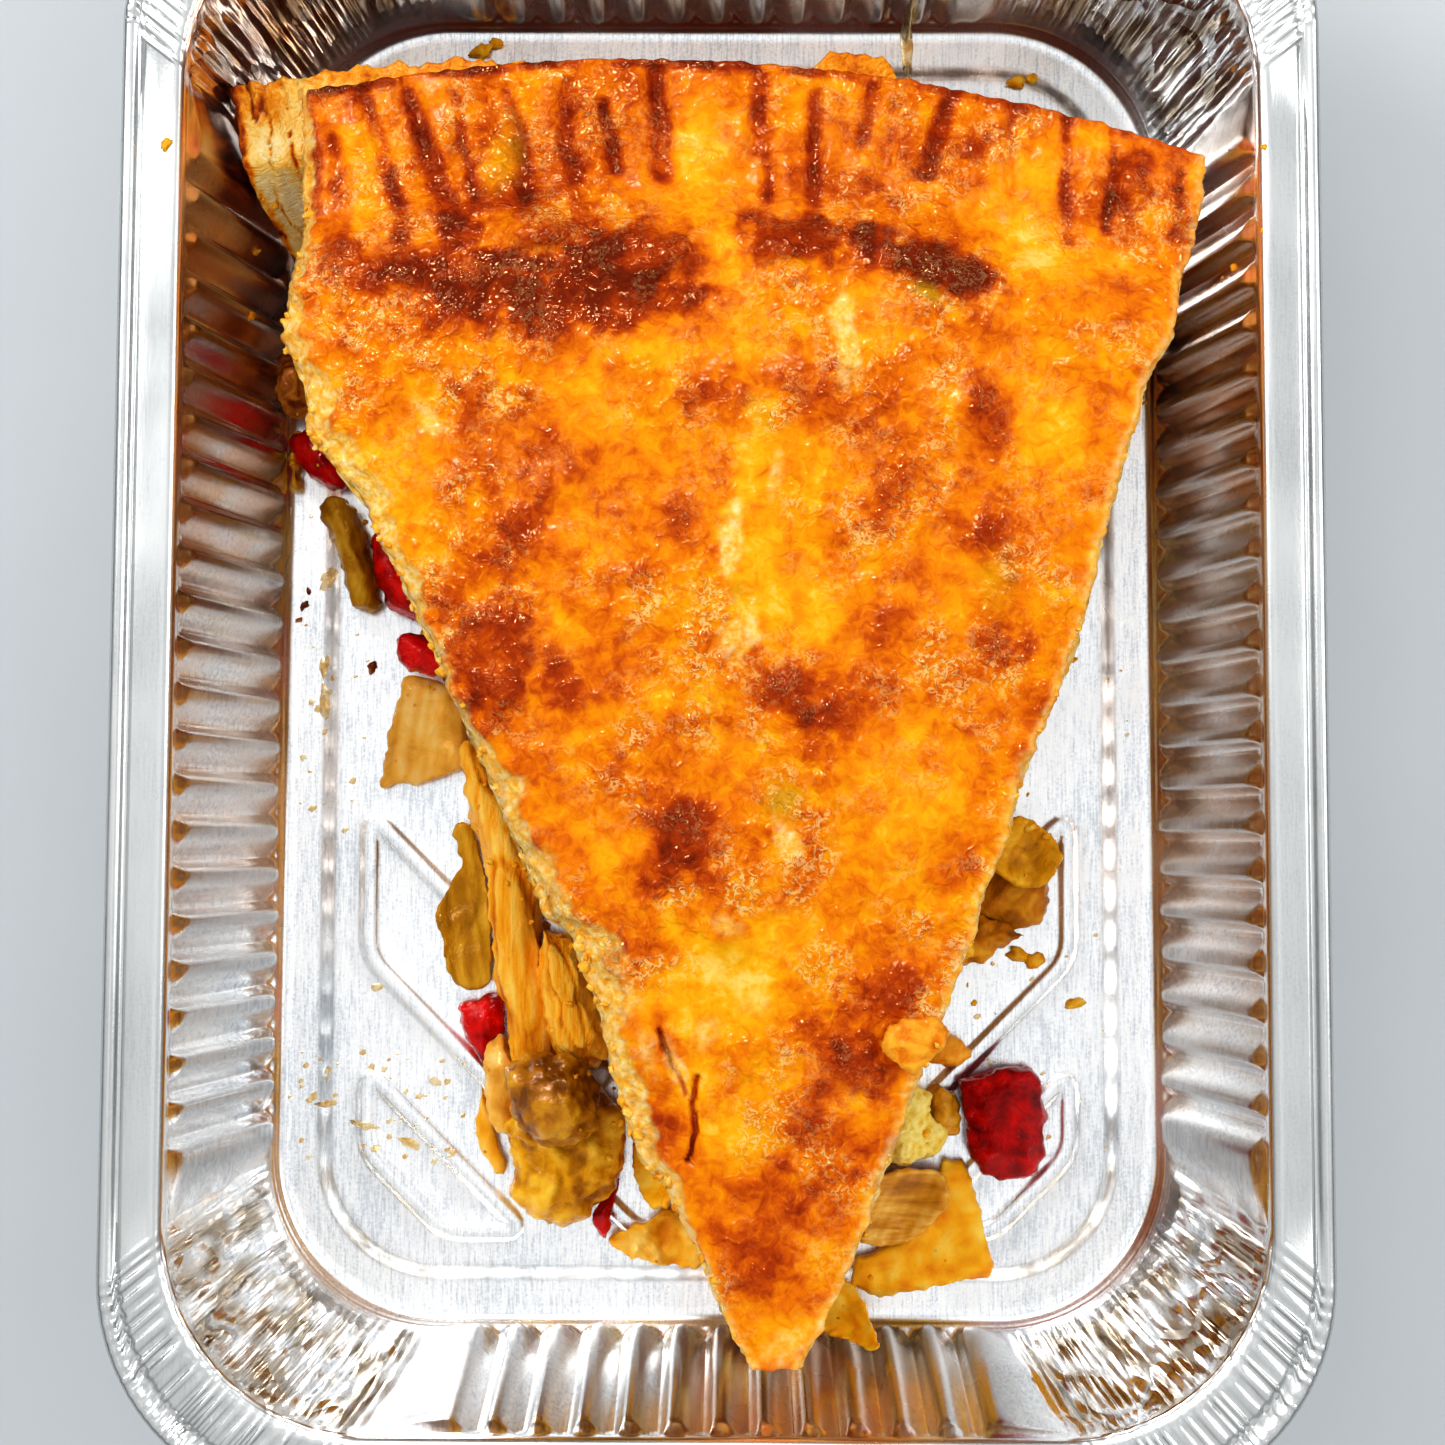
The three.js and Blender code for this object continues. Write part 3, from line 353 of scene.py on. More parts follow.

# The rings of the inner wall, the first ring beyond the flange, and where the inner wall is tinted orange:
# grease that has run down it, together with a painted reflection of the pie.
INNER_WALL = slice(12, 38)
PAST_FLANGE = 46
GREASE_AND_PIE_REFLECTION = [
    (-72, 44, 15, 46, 0, 0.85), (-68, 92, 22, 22, 0, 0.7), (0, 102, 70, 14, 0, 0.8),
    (72, 44, 15, 34, 0, 0.75), (10, -102, 20, 12, 0, 0.8), (-68, -18, 12, 26, 0, 0.3),
    (70, -16, 14, 40, 0, 0.35)]


def tray_columns():
    """The columns of the tray's skin, anticlockwise from the middle of the +X side.
    Each has its quarter, its place along a side or turn round a corner, its wave and where it is in it."""
    rng = np.random.default_rng(5)
    rows = []
    for quarter in range(4):
        count, pitch = FLUTES[quarter % 2 == 0]
        start = -count / 2 * pitch
        rows.append((quarter, start - 2, 0, -1, 0, 0))
        for i in range(count):
            size, lean = 0.85 + 0.3 * rng.random(), 0.04 * (rng.random() - 0.5)
            for share, wave in FLUTE_WAVE:
                shift = lean if 0.2 < share < 0.9 else 0
                rows.append((quarter, start + (i + share + shift) * pitch, 0, wave * size, share, 0))
        rows.append((quarter, -start, 0, -1, 0, 0))
        rows.append((quarter, -start + 2, 0, -1, 0, 0))
        widths = 0.6 + rng.random(PLEATS_PER_CORNER)
        joints = np.concatenate([[0], np.cumsum(widths)]) / widths.sum()
        for i in range(PLEATS_PER_CORNER):
            size = 0.4 + 0.8 * rng.random()
            for share, wave in PLEAT_WAVE:
                rows.append((quarter, 0, lerp(joints[i], joints[i + 1], share), wave * size, share, 1))
        rows.append((quarter, 0, 1.0, -0.5, 0, 1))
    return np.array(rows).T


QUARTER, PLACE, TURN, WAVE, SHARE, CORNER = tray_columns()
LONG_SIDE = QUARTER % 2 == 0
ON_CORNER = CORNER > 0


def wall_shape(z):
    return lerp(FLOOR, OPENING, np.clip(z / NECK_FROM, 0, 1))


def tray_ring(shape, z, out=0.0, swell=0.0):
    """One ring of the tray's skin. out grows the shape, and swell moves each column outwards."""
    width, length, corner = shape
    corner = corner + out
    half = np.where(LONG_SIDE, width, length) / 2 + out
    side = np.where(LONG_SIDE, length, width) / 2 + out - corner
    angle = np.where(ON_CORNER, TURN * math.pi / 2, 0)
    ahead = half - corner + (corner + swell) * np.cos(angle)
    sideways = np.where(ON_CORNER, side + (corner + swell) * np.sin(angle), PLACE)
    heading = QUARTER * math.pi / 2
    x = ahead * np.cos(heading) - sideways * np.sin(heading)
    y = ahead * np.sin(heading) + sideways * np.cos(heading)
    return joined(x, y, z)


def wall_swell(z):
    """How far the flutes, the corners' crumpled folds and small dents move the wall outwards at a height."""
    arch = (2 * SHARE - 1) ** 2
    grown = smooth(1.6 + 0.7 * arch, 2.5 + 1.3 * arch, z) * (1 - smooth(36.5 - 0.5 * arch, 37.5, z))
    middle = tray_ring(wall_shape(z), z)
    flutes = FLUTE_DEPTH * WAVE * grown
    round_corner = TURN * 41 + 100 * QUARTER
    lean = 0.10 * z * BROAD(joined(round_corner / 9, 0, 0))
    across = joined((round_corner + lean) / 2.5, z / 12, QUARTER)
    folds = FINE.ridges(across) + 0.5 * GRAIN.ridges(across * [2.1, 2.4, 1])
    creases = BROAD.ridges(warped(middle, 4.2, 0.8))
    crumpled = 0.42 * folds + 0.36 * creases * smooth(6, 16, z) + 0.3 * WAVE
    corners = (crumpled - 0.1) * smooth(2.2, 6.5, z) * (1 - smooth(35.8, 37.4, z))
    dents = 0.2 * BROAD(middle / 22) * smooth(3, 8, z)
    return np.where(ON_CORNER, corners, flutes) + dents


def wall_rings(out, heights):
    return [tray_ring(wall_shape(z), z, out, wall_swell(z)) for z in heights]


def flange_ring(share, z, pleat):
    """A ring of the flange, at a share of the way from the opening to the edge, pleated at its corners."""
    ring = tray_ring(lerp(OPENING, EDGE, share), z)
    creases = 0.7 * WAVE + 0.9 * FINE(ring / [2.2, 2.2, 9])
    ring[:, 2] += np.where(ON_CORNER, creases * pleat, 0) + 0.06 * BROAD(ring / 24)
    return ring


def tray_shell():
    """The foil from the floor panel's edge up the wall, over the flange, round the bead and back beneath."""
    def floor_rings(level, out):
        edge = [(-PANEL_INSET + STEP_RUN * run, PANEL_RISE * rise) for run, rise in STEP]
        foot = [(-inset, rise) for inset, rise in FOOT]
        return [tray_ring(FLOOR, level + rise, place + out) for place, rise in edge + foot]

    top = TRAY_HEIGHT - 0.6
    reach = (EDGE[0] - OPENING[0]) / 2
    neck = [tray_ring(OPENING, z) for z in (38.3, NECK_TOP)]
    for degrees in (25, 45, 65, 90):
        turn = math.radians(degrees)
        over = NECK_ROUND * (1 - math.cos(turn)) / reach
        neck.append(flange_ring(over, top - NECK_ROUND * (1 - math.sin(turn)), 0.1 * math.sin(turn)))
    flange = [flange_ring(share, top - drop, 0.52) for share, drop in FLANGE]
    bead = []
    for degrees in range(150, -141, -36):
        turn = math.radians(degrees)
        crimp = np.where(ON_CORNER, 0.16 * WAVE, 0) * max(math.sin(turn), 0)
        z = TRAY_HEIGHT - BEAD_RADIUS + BEAD_RADIUS * math.sin(turn) + crimp
        bead.append(tray_ring(EDGE, z, BEAD_RADIUS * (math.cos(turn) - 1)))
    under = [flange_ring(share, top - FOIL, 0.2) for share in (0.71, 0.16)]
    outer_neck = [tray_ring(OPENING, 38.6, FOIL)]
    inner = floor_rings(FOIL, 0) + wall_rings(0, INNER_HEIGHTS) + neck + flange
    outer = under + outer_neck + wall_rings(FOIL, OUTER_HEIGHTS) + floor_rings(0, FOIL)[::-1]
    return np.array(inner + bead + outer)


def corners_of(course):
    """Each corner of a closed course, with the directions of its sides before and after it."""
    course = np.array(course, float)
    for before, here, after in zip(np.roll(course, 1, 0), course, np.roll(course, -1, 0)):
        into, out = here - before, after - here
        yield here, into / np.linalg.norm(into), out / np.linalg.norm(out)


def rounded(course, radius):
    """A closed course with each corner rounded by a short arc."""
    points = []
    for here, into, out in corners_of(course):
        start, stop = here - into * radius, here + out * radius
        for f in np.linspace(0, 1, 5):
            points.append((1 - f) ** 2 * start + 2 * f * (1 - f) * here + f * f * stop)
    return np.array(points)


def moved_in(course, by):
    """A closed course's corners, moved in from its sides."""
    return [here + (out - into) * by / (into[0] * out[1] - into[1] * out[0])
            for here, into, out in corners_of(course)]


def rib_lines():
    """The middle lines of the floor's ribs: at each end a broad V and, outside it, two triangles."""
    side, end = 51.45, 82.6
    v_top, v_low, gap, cut = 19, 43, 12.5, 12
    reach, top = side - (end - v_low), v_low + gap
    chevron = [(-side, -v_top), (-side, -v_low), (-reach, -end), (reach, -end), (side, -v_low),
               (side, -v_top), (0, -v_top - side)]
    corner = [(-side, -top), (-side, -end + cut), (-side + cut, -end), (-side + end - top, -end)]
    lines = []
    for flip in (1, -1):
        for hand, course in ((1, chevron), (1, corner), (-1, corner)):
            mirrored = [(x * hand, y * flip) for x, y in course]
            if hand * flip < 0:
                mirrored.reverse()
            lines.append(rounded(moved_in(mirrored, RIB_WIDTH / 2), 3.0))
    return lines


RIB_LINES = rib_lines()


def from_ribs(points):
    """Distance from points to the nearest rib's middle line, seen from above."""
    nearest = np.full(points.shape[:-1], FAR)
    for line in RIB_LINES:
        for start, stop in zip(line, np.roll(line, -1, 0)):
            if np.linalg.norm(stop - start) > TINY:
                nearest = np.minimum(nearest, to_line(points, start, stop)[0])
    return nearest


def panel_height(points):
    """The height of the floor panel's top face, with its ribs and slight dents."""
    x, y = points.T
    inside = smooth(0, 6, np.min(FLOOR[:2] / 2 - PANEL_INSET - np.abs(points), axis=1))
    ribs = RIB_RISE * (1 - smooth(0.55, 1.6, from_ribs(points)))
    return PANEL_TOP + ribs + 0.09 * BROAD(joined(x, y, 0) / 16) * inside


def beside_ribs(step, offsets):
    """Points step millimetres apart along the ribs, at some distances to both sides of their middle lines."""
    found = []
    for line in RIB_LINES:
        ends = np.roll(line, -1, 0)
        sides = [(a, b, np.linalg.norm(b - a)) for a, b in zip(line, ends) if np.linalg.norm(b - a) > TINY]
        course = np.concatenate([np.linspace(a, b, max(int(run / step), 1), endpoint=False)
                                 for a, b, run in sides])
        along = np.roll(course, -1, 0) - np.roll(course, 1, 0)
        aside = joined(-along[:, 1], along[:, 0]) / np.linalg.norm(along, axis=1)[:, None]
        found += [course + offset * aside for offset in offsets]
    found = np.concatenate(found)
    _, first = np.unique(np.round(found / 0.3), axis=0, return_index=True)
    return found[first]


def panel_points(plain, near, offsets):
    """Points over the panel: plain millimetres apart, and near millimetres apart along its ribs."""
    half = FLOOR[:2] / 2 - PANEL_INSET - PANEL_LIP
    corner = FLOOR[2] - PANEL_INSET - PANEL_LIP
    axes = [np.arange(-h + 0.9, h - 0.4, plain) for h in half]
    grid = joined(*np.meshgrid(*axes, indexing="ij")).reshape(-1, 2)
    both = np.concatenate([grid[from_ribs(grid) > 2.6], beside_ribs(near, offsets)])
    over = np.maximum(np.abs(both) - (half - corner), 0)
    inside = np.all(np.abs(both) < half - 0.5, axis=1)
    return both[inside & (np.linalg.norm(over, axis=1) < corner - 0.7)]


# How closely the floor panel's two faces are filled with points: their spacing on the plain part and along
# the ribs, and how far from a rib's middle line they lie.
PANEL_TOP_FILL = (2.8, 1.05, (-1.7, -1.4, -1.1, -0.8, -0.5, 0, 0.5, 0.8, 1.1, 1.4, 1.7))
PANEL_UNDER_FILL = (6.0, 2.4, (-1.7, -1.1, -0.5, 0.5, 1.1, 1.7))


def foil_tray():
    """The whole tray as one closed mesh, with the fields that its material reads."""
    rings = tray_shell()
    count, columns = rings.shape[:2]
    points = [rings.reshape(-1, 3)]
    faces = [loop_faces(count, columns)[:, ::-1]]
    for ring, fill, drop, way in ((0, PANEL_TOP_FILL, 0, 1), (count - 1, PANEL_UNDER_FILL, FOIL, -1)):
        flat, triangles = fill_outline(rings[ring, :, :2], panel_points(*fill))
        extra = flat[columns:]
        base = sum(len(p) for p in points)
        points.append(np.column_stack([extra, panel_height(extra) - drop]))
        numbers = np.concatenate([ring * columns + np.arange(columns), base + np.arange(len(extra))])
        faces.append(numbers[triangles][:, ::way])
    points = np.concatenate(points)

    up = rings[..., 2]
    on_wall = smooth(3, 8, up) * (1 - smooth(38.5, 40, up))
    on_wall[PAST_FLANGE:] *= 0.4
    crumple = ON_CORNER * smooth(0.0, 0.12, np.minimum(TURN, 1 - TURN)) * on_wall
    inside = rings[INNER_WALL]
    # Where the inner wall is tinted orange: grease, and a painted reflection of the pie beside it.
    grease_and_reflection = np.zeros_like(up)
    uneven = inside + 3 * BROAD(inside / 9)[..., None]
    grease_and_reflection[INNER_WALL] = np.max([*spots(uneven, GREASE_AND_PIE_REFLECTION, 0.45, 1.1)], axis=0)
    # The deep part of each straight wall's flutes is darkened in the foil's colour: painted shade in the
    # grooves.
    deep = np.clip(0.5 - 0.5 * WAVE, 0, 1) ** 3 * smooth(3, 5, up) * (1 - smooth(35.5, 37.5, up))
    painted_groove_shade = np.where(ON_CORNER, 0, deep)
    fields = {name: np.append(values, np.zeros(len(points) - up.size)) for name, values in
              (("crumple", crumple), ("grease_and_reflection", grease_and_reflection), ("painted_groove_shade", painted_groove_shade))}
    return make_mesh("tray_shell", points, faces, {**fields, "flange": smooth(39.2, 40.0, points[:, 2])})


def foil_material():
    look = Shader("foil", metallic=1.0)
    streaks = look.noise(0.30, 1, 0.65, stretch=(1, 12, 3))
    specks = look.noise(0.42, 1, 0.7)
    cloud = look.noise(17, 1, 0.6)
    tone = look.plus(look.times(streaks, 0.45), look.times(specks, 0.30))
    bare = look.ramp(look.plus(tone, look.times(cloud, 0.25)), (0.36, srgb(204, 209, 215)),
                     (0.5, srgb(238, 240, 241)), (0.62, srgb(249, 249, 247)))
    crumple = look.field("crumple")
    dull = look.times(crumple, look.remap(look.noise(4, 1, 0.5, (1, 1, 3)), 0.38, 0.6))
    worn = look.mix(look.times(look.field("flange"), 0.8), bare, srgb(196, 199, 198))
    # An orange tint on the inner wall: grease, and a painted reflection of the pie.
    grease_and_reflection = look.times(look.field("grease_and_reflection"), look.remap(look.noise(9, 1, 0.6), 0.3, 0.6, 0.25, 0.6))
    stained_and_reflecting = look.mix(grease_and_reflection, look.mix(dull, worn, srgb(172, 158, 138)), srgb(255, 168, 46))
    # The flutes' grooves are darkened towards a grey brown: painted shade.
    look.set(base_color=look.mix(look.times(look.field("painted_groove_shade"), 0.5), stained_and_reflecting, srgb(104, 92, 82)))
    look.set(roughness=look.remap(cloud, 0.3, 0.7, 0.20, 0.30))
    rolled = look.bump(streaks, 0.007, 0.9)
    speckled = look.bump(specks, 0.012, 0.8, rolled)
    dented = look.bump(look.noise(7, 0, 0.5), 0.05, 0.5, speckled)
    folds = look.times(look.noise(4.0, 0, 0.5, (1, 1, 5.0), 0.7), crumple)
    creases = look.times(look.ridges(6.4, 0, (1, 1, 3.0), 1.2), crumple)
    folded = look.bump(folds, 1.5, 1.0, dented)
    look.set(normal=look.bump(creases, 0.4, 1.0, folded))
    return look.material


add_object("tray_shell", foil_tray(), foil_material(), "foil", "foil_tray")


# ---------------------------------------------------------------- the slice of pie

SAGITTA, SLICE_LENGTH = 8.4, 172.0
TIP_Y, RIM_LEFT_Y, RIM_RIGHT_Y = -93.0, 74.4, 66.2
CRUST_THICK, BASE_THICK, LAYER_GAP = 4.0, 3.8, 0.45
RIM_TOP, RING_TOP, MIDDLE_TOP, TIP_TOP = 31.5, 37.0, 37.6, 34.5
ON_RIBS, HIGHEST_FOOD = 2.6, 40.5

# Where each cut runs, as (y, x) from the tip to the rim.
LEFT_CUT = np.array([
    (-93.2, 4.6), (-87.6, 1.4), (-77.8, -2.6), (-69.6, -7), (-67.5, -9.6), (-59.5, -12.2), (-51.9, -14.4),
    (-44.7, -16.3), (-38.2, -18.8), (-35.3, -22.4), (-27, -25.8), (-12.2, -32.2), (2, -38.7), (17.6, -46),
    (27, -53.6), (34.6, -54.9), (40.2, -57.6), (54, -56), (74.5, -56.6)])
LEFT_BASE = np.array([
    (-92, 5.4), (-70, -3), (-40, -14.6), (0, -34.6), (20, -43.6), (40, -54.8), (48.3, -58.6), (58.7, -61.8),
    (66, -65.2), (74.5, -67)])
RIGHT_CUT = np.array([
    (-92.6, 11), (-88.9, 13), (-77.7, 18.2), (-58.4, 25.2), (-46.2, 29.9), (-32.6, 34.6), (-16.7, 39.8),
    (0.2, 46.7), (18.2, 51.3), (33.2, 55.6), (41.5, 59.4), (53.8, 63), (66.2, 65.4)])

# The fork's marks in the rim: outer end, inner end (x, y), half width and depth.
FORK_MARKS = [
    (-54.9, 71.4, -54.1, 56.8, 0.9, 0.9), (-52, 68.4, -50, 55.2, 1, 1),
    (-48.7, 74.6, -44.2, 63.6, 1.1, 1.3), (-44.1, 63.2, -42.2, 54.4, 1.1, 1.3),
    (-42, 74.6, -35.5, 56, 1.3, 1.7), (-35.9, 74.6, -32.7, 59.2, 0.8, 1.2),
    (-31.6, 75.3, -30.7, 69.7, 1.3, 0.8), (-28.7, 74.7, -25.5, 60.4, 1.3, 1.4),
    (-21.6, 74.6, -19.5, 62.9, 1, 1.2), (-15.5, 73.3, -14.1, 64.3, 0.8, 1.5),
    (-8.9, 77.6, -7.7, 63.7, 1.25, 1.8), (-0.6, 75.4, -0.6, 68.1, 0.8, 0.5), (4.9, 77.9, 5.6, 66.8, 1.2, 1),
    (5.8, 77.5, 6.4, 60, 0.8, 1.1), (12.7, 74.8, 12.3, 59.3, 0.9, 1.3), (16.8, 70, 16.4, 65.4, 0.8, 1),
    (20.4, 75.5, 19, 68.2, 1.1, 1.1), (22.9, 72.7, 21.9, 65.5, 0.8, 1.1),
    (31.9, 76.2, 27.4, 64.1, 1.2, 1.6), (35.7, 71.4, 34.5, 60, 0.8, 0.6),
    (39.4, 74.2, 39.2, 61.4, 0.7, 0.9), (41.9, 71.4, 41.4, 64.8, 0.7, 0.5),
    (46.6, 71.4, 46.5, 54.6, 0.9, 1.3), (48.2, 67.3, 47.5, 60.1, 0.9, 0.8), (53.3, 72.6, 51.9, 56, 0.7, 1),
    (56.5, 70.1, 55.7, 62.8, 0.7, 0.5), (62.1, 63.9, 60.8, 55.4, 0.9, 1)]

# Blisters and swellings: centre, radii, turn, height.
BLISTERS = [
    (-24.9, 54.7, 6.4, 4.6, 0, 1.9), (-10.2, 51.2, 9.8, 4.5, 2, 1.2), (9.8, 52.7, 7, 3.9, 0, 1.2),
    (27.9, 49.9, 10.4, 3.6, -25, 1.2), (55.4, 62.1, 4, 3.4, 0, 1.3), (-42, 48, 5, 3, 10, 0.8),
    (-28.1, -2.7, 7, 9, 10, 0.9), (11.6, -7.6, 7, 4, -20, 0.9), (-6.4, -26.5, 6.5, 7, 0, 0.9),
    (18.4, -54.9, 6, 4.2, -10, 0.9), (-21, 21, 5, 4, 0, 0.6), (33, 31, 6, 5, 20, 0.6),
    (-8.4, -62.6, 4.6, 6.2, 0, -1.2), (-11.2, -51.4, 4.4, 6, 20, 0.8), (26, -24, 8, 9, 0, 0.7)]

# What the oven has darkened (above 0) or left pale (below 0), and one crease that is partly painted shadow:
# centre, radii, turn, strength, hard edge.
BROWNED = [
    # the ring just inside the rim
    (-26, 47.5, 26, 7, -3, 0.17, 0.55), (24, 51.5, 17, 5, -12, 0.12, 0.5), (0, 68, 60, 9, -4, 0.05, 0.6),
    (-9.3, 51, 9.2, 4.7, 2, 0.3, 0.8), (-16.5, 50.8, 5.5, 2.2, 0, 0.26, 0.6),
    (10.2, 54, 7.8, 3.9, 0, 0.36, 0.8), (28.2, 50.4, 11, 3.3, -23, 0.36, 0.8),
    # The thin dark line at (-25, 50.2), along the foot of the blister at (-24.9, 54.7), is a crease that is
    # browned and partly painted shadow beneath the blister.
    (-25, 50.2, 8, 1.6, -10, 0.36, 0.55), (-34.5, 55, 3.4, 3, 0, 0.28, 0.45),
    (-29, 59.5, 5, 3.4, 10, 0.2, 0.4), (-17.5, 56, 3, 5, 0, 0.14, 0.4),
    (-25.4, 54.8, 6.2, 3.8, 0, 0.06, 0.5), (-20, 45.4, 18.5, 4.8, 2, 0.24, 0.65),
    (-45, 50.4, 12, 3.8, -6, 0.2, 0.5), (-34, 47, 14, 5, -6, 0.12, 0.3), (2, 45.6, 5, 5, 0, -0.12, 0.2),
    (0.6, 52.4, 2, 4.4, 10, -0.2, 0.5), (42, 51.5, 7, 3.6, -8, -0.2, 0.3), (55, 51, 5, 3, -20, -0.08, 0.3),
    # the rim
    (-52.5, 62, 3.4, 9, 10, 0.1, 0.3), (-40, 67, 4, 6, 0, 0.08, 0.2), (-22, 62, 4, 8, 0, 0.08, 0.2),
    (-2.6, 66, 3.4, 10, 0, -0.16, 0.4), (11, 68, 6, 8, 0, 0.06, 0.2), (24, 66, 5, 6, 0, 0.08, 0.2),
    (43, 63, 6, 8, 0, -0.1, 0.3), (40, 56.4, 4.6, 2.6, 0, -0.2, 0.3), (55.8, 62.4, 5.4, 4.4, 0, 0.26, 0.55),
    (52, 57, 5, 4, 0, 0.1, 0.2), (-48, 57.6, 3, 3, 0, -0.12, 0.3), (-41, 57, 1.8, 3, 0, -0.12, 0.3),
    # below the ring
    (-27, 24, 10.5, 14, 0, 0.15, 0.4), (-31, 33.6, 5, 3, 0, 0.1, 0.3), (-22.5, 15, 7, 6, 0, 0.1, 0.2),
    (-38, 31, 3.4, 5, 0, -0.14, 0.3), (-42, 20, 6, 11, 25, -0.16, 0.4),
    (-16.8, 34.4, 3.6, 3, 0, -0.14, 0.3), (-9, 38, 9, 2.6, 4, -0.12, 0.3), (-1, 32.6, 6, 3.2, 6, 0.16, 0.4),
    (-13, 23, 4, 9, 10, 0.1, 0.3), (-6, 16.6, 5.4, 3.4, 0, 0.12, 0.3), (-11.5, 10, 6, 5, 0, 0.04, 0.2),
    (4.8, 26, 3.4, 7, -16, -0.16, 0.3), (13.6, 31.4, 5, 2.8, 20, 0.14, 0.3), (22, 33, 5, 4, 0, 0.06, 0.2),
    (20, 41, 5, 5, 0, -0.14, 0.3), (35, 30.4, 3.8, 7.6, -6, 0.24, 0.45), (33, 41.4, 8, 3.6, -6, 0.12, 0.3),
    (30.6, 24, 3, 3, 0, 0.12, 0.3), (43.6, 27.6, 5.6, 6.4, 0, -0.18, 0.45), (47, 40, 6, 6, 0, -0.08, 0.2),
    (24, 22, 8, 7, 0, 0.06, 0.2), (19, 15.6, 7, 4, 10, 0.1, 0.3), (33, 15, 6, 4, -10, 0.1, 0.3),
    (4, 9, 5.4, 9, 0, -0.18, 0.3), (11, 4, 6, 6, 20, -0.14, 0.3), (20, 3, 6, 5, -20, 0.1, 0.3),
    (37, -0.4, 4.4, 3.2, 0, 0.16, 0.4), (29, 4, 4, 8, 0, -0.06, 0.2),
    # the middle
    (-29.4, -1.6, 7.4, 9.4, 0, 0.26, 0.45), (-30.5, 4.6, 7, 3, 10, 0.12, 0.4),
    (-19, -4.6, 8, 4.4, -20, 0.14, 0.3), (-34, -9.6, 4, 3.6, 0, 0.14, 0.3),
    (-17.6, -14.4, 3.6, 4.2, 0, -0.14, 0.4), (-8, -4, 5, 6, 0, 0.02, 0.2),
    (10, -6.6, 5.8, 4.2, -28, 0.28, 0.5), (17, -8.6, 6.4, 5.4, -30, 0.14, 0.3),
    (14, -16.6, 5, 4, 0, 0.08, 0.2), (-4.6, -24.4, 4.6, 5.2, 0, 0.28, 0.4),
    (-8.6, -29.6, 4.6, 3.6, 20, 0.24, 0.4), (-1.6, -30.6, 3, 4.6, -10, 0.18, 0.3),
    (-10, -20, 6, 6, 0, 0.1, 0.2), (-23, -20, 4, 5, 0, 0.04, 0.2), (25, -19, 8, 8, 0, -0.08, 0.4),
    (19.6, -23, 2.6, 3.6, 0, 0.08, 0.3), (30.6, -28.6, 3.6, 4, 0, 0.1, 0.3), (34, -18, 3, 6, 0, 0.06, 0.2),
    (8, -38, 9, 6, 0, -0.12, 0.3), (-9.6, -38.6, 5.4, 4.6, 0, 0.06, 0.2), (0.6, -45.6, 9, 6, 0, -0.16, 0.4),
    (-2.6, -56.6, 3, 6.6, 10, -0.14, 0.4),
    # towards the tip
    (21, -44.6, 7.4, 4.4, 22, 0.2, 0.45), (17.8, -55, 6.4, 4.8, 14, 0.3, 0.45),
    (14, -49.6, 5, 3.4, 20, 0.12, 0.3), (15.6, -64, 5.6, 5.4, 0, 0.18, 0.3),
    (10, -60, 4, 4.6, 0, 0.06, 0.2), (3.6, -64.6, 4, 4.6, 0, -0.12, 0.3),
    (5.6, -75.6, 7.4, 9, 0, 0.18, 0.5), (13, -72, 4, 4.6, 0, 0.12, 0.3),
    (12.6, -85, 1.8, 1.8, 0, 0.14, 0.3), (8.4, -88.4, 5, 2.6, 10, -0.2, 0.4),
    (-8.8, -62.8, 4.4, 6, 0, 0.16, 0.5), (-2, -42, 10, 9, 0, -0.1, 0.3), (-24, -10, 13, 16, 0, 0.05, 0.3)]

# Streaks of bare dough: centre, radii, turn, strength, edge.
PALE = [
    (16.6, 40.5, 2.1, 7.2, 4, 0.85, 0.55), (1.6, 13.2, 1.8, 5, -6, 0.9, 0.6),
    (2.6, 0.6, 2.8, 4.4, -30, 0.8, 0.5), (8.9, -25.2, 1.7, 3.6, 35, 0.85, 0.5),
    (-24.2, -29, 4.4, 3.4, -35, 0.75, 0.5), (-19.8, -36, 1.8, 5.4, 20, 0.8, 0.5),
    (-31, -16.2, 2.2, 2.6, 0, 0.9, 0.5), (-5.2, -54.6, 1.4, 4.2, 25, 0.8, 0.4),
    (9.6, -89.6, 4.2, 3, 30, 0.5, 0.4), (7.5, 22, 1.2, 4, -8, 0.5, 0.3), (-13, -40.6, 1.6, 4, 20, 0.5, 0.4),
    (-12, -46, 2.6, 4, 20, 0.6, 0.3), (-9, -53, 1.8, 3.4, 15, 0.6, 0.3),
    (4.5, -46.5, 3.2, 1.6, 0, 0.45, 0.2), (-1.5, -50.5, 2, 3, -20, 0.5, 0.2),
    (1, -36.5, 3.4, 1.6, -20, 0.5, 0.2), (-38, 29, 1.4, 4.6, 30, 0.5, 0.3)]

# Where green filling shows through thin crust: centre, radii, turn, strength.
GREENISH = [
    (27.2, 46.2, 4, 1.5, -25, 0.7), (8.5, -20.6, 3.8, 3.6, 0, 0.65), (5.5, 30, 2.2, 4, 20, 0.4),
    (2.4, 6.6, 1.8, 3.2, 0, 0.4), (36, 8, 4, 5, 0, 0.35), (-29, 66, 3, 7, -10, 0.4), (2, -40, 5, 4, 0, 0.4),
    (-9, 37, 5, 1.2, 20, 0.4), (42, 57, 3, 3, 0, 0.4)]

# Where the crust is smooth: centre, radii.
CALM = [
    (25, -20, 12, 16, 0, 1), (43, 24, 8, 16, 0, 1), (5, 10, 6, 22, 0, 1), (3, -44, 10, 8, 0, 1),
    (-41, 22, 6, 14, 0, 1), (21, 43, 8, 6, 0, 1), (0, -60, 4, 8, 0, 1), (46, 48, 8, 7, 0, 1)]

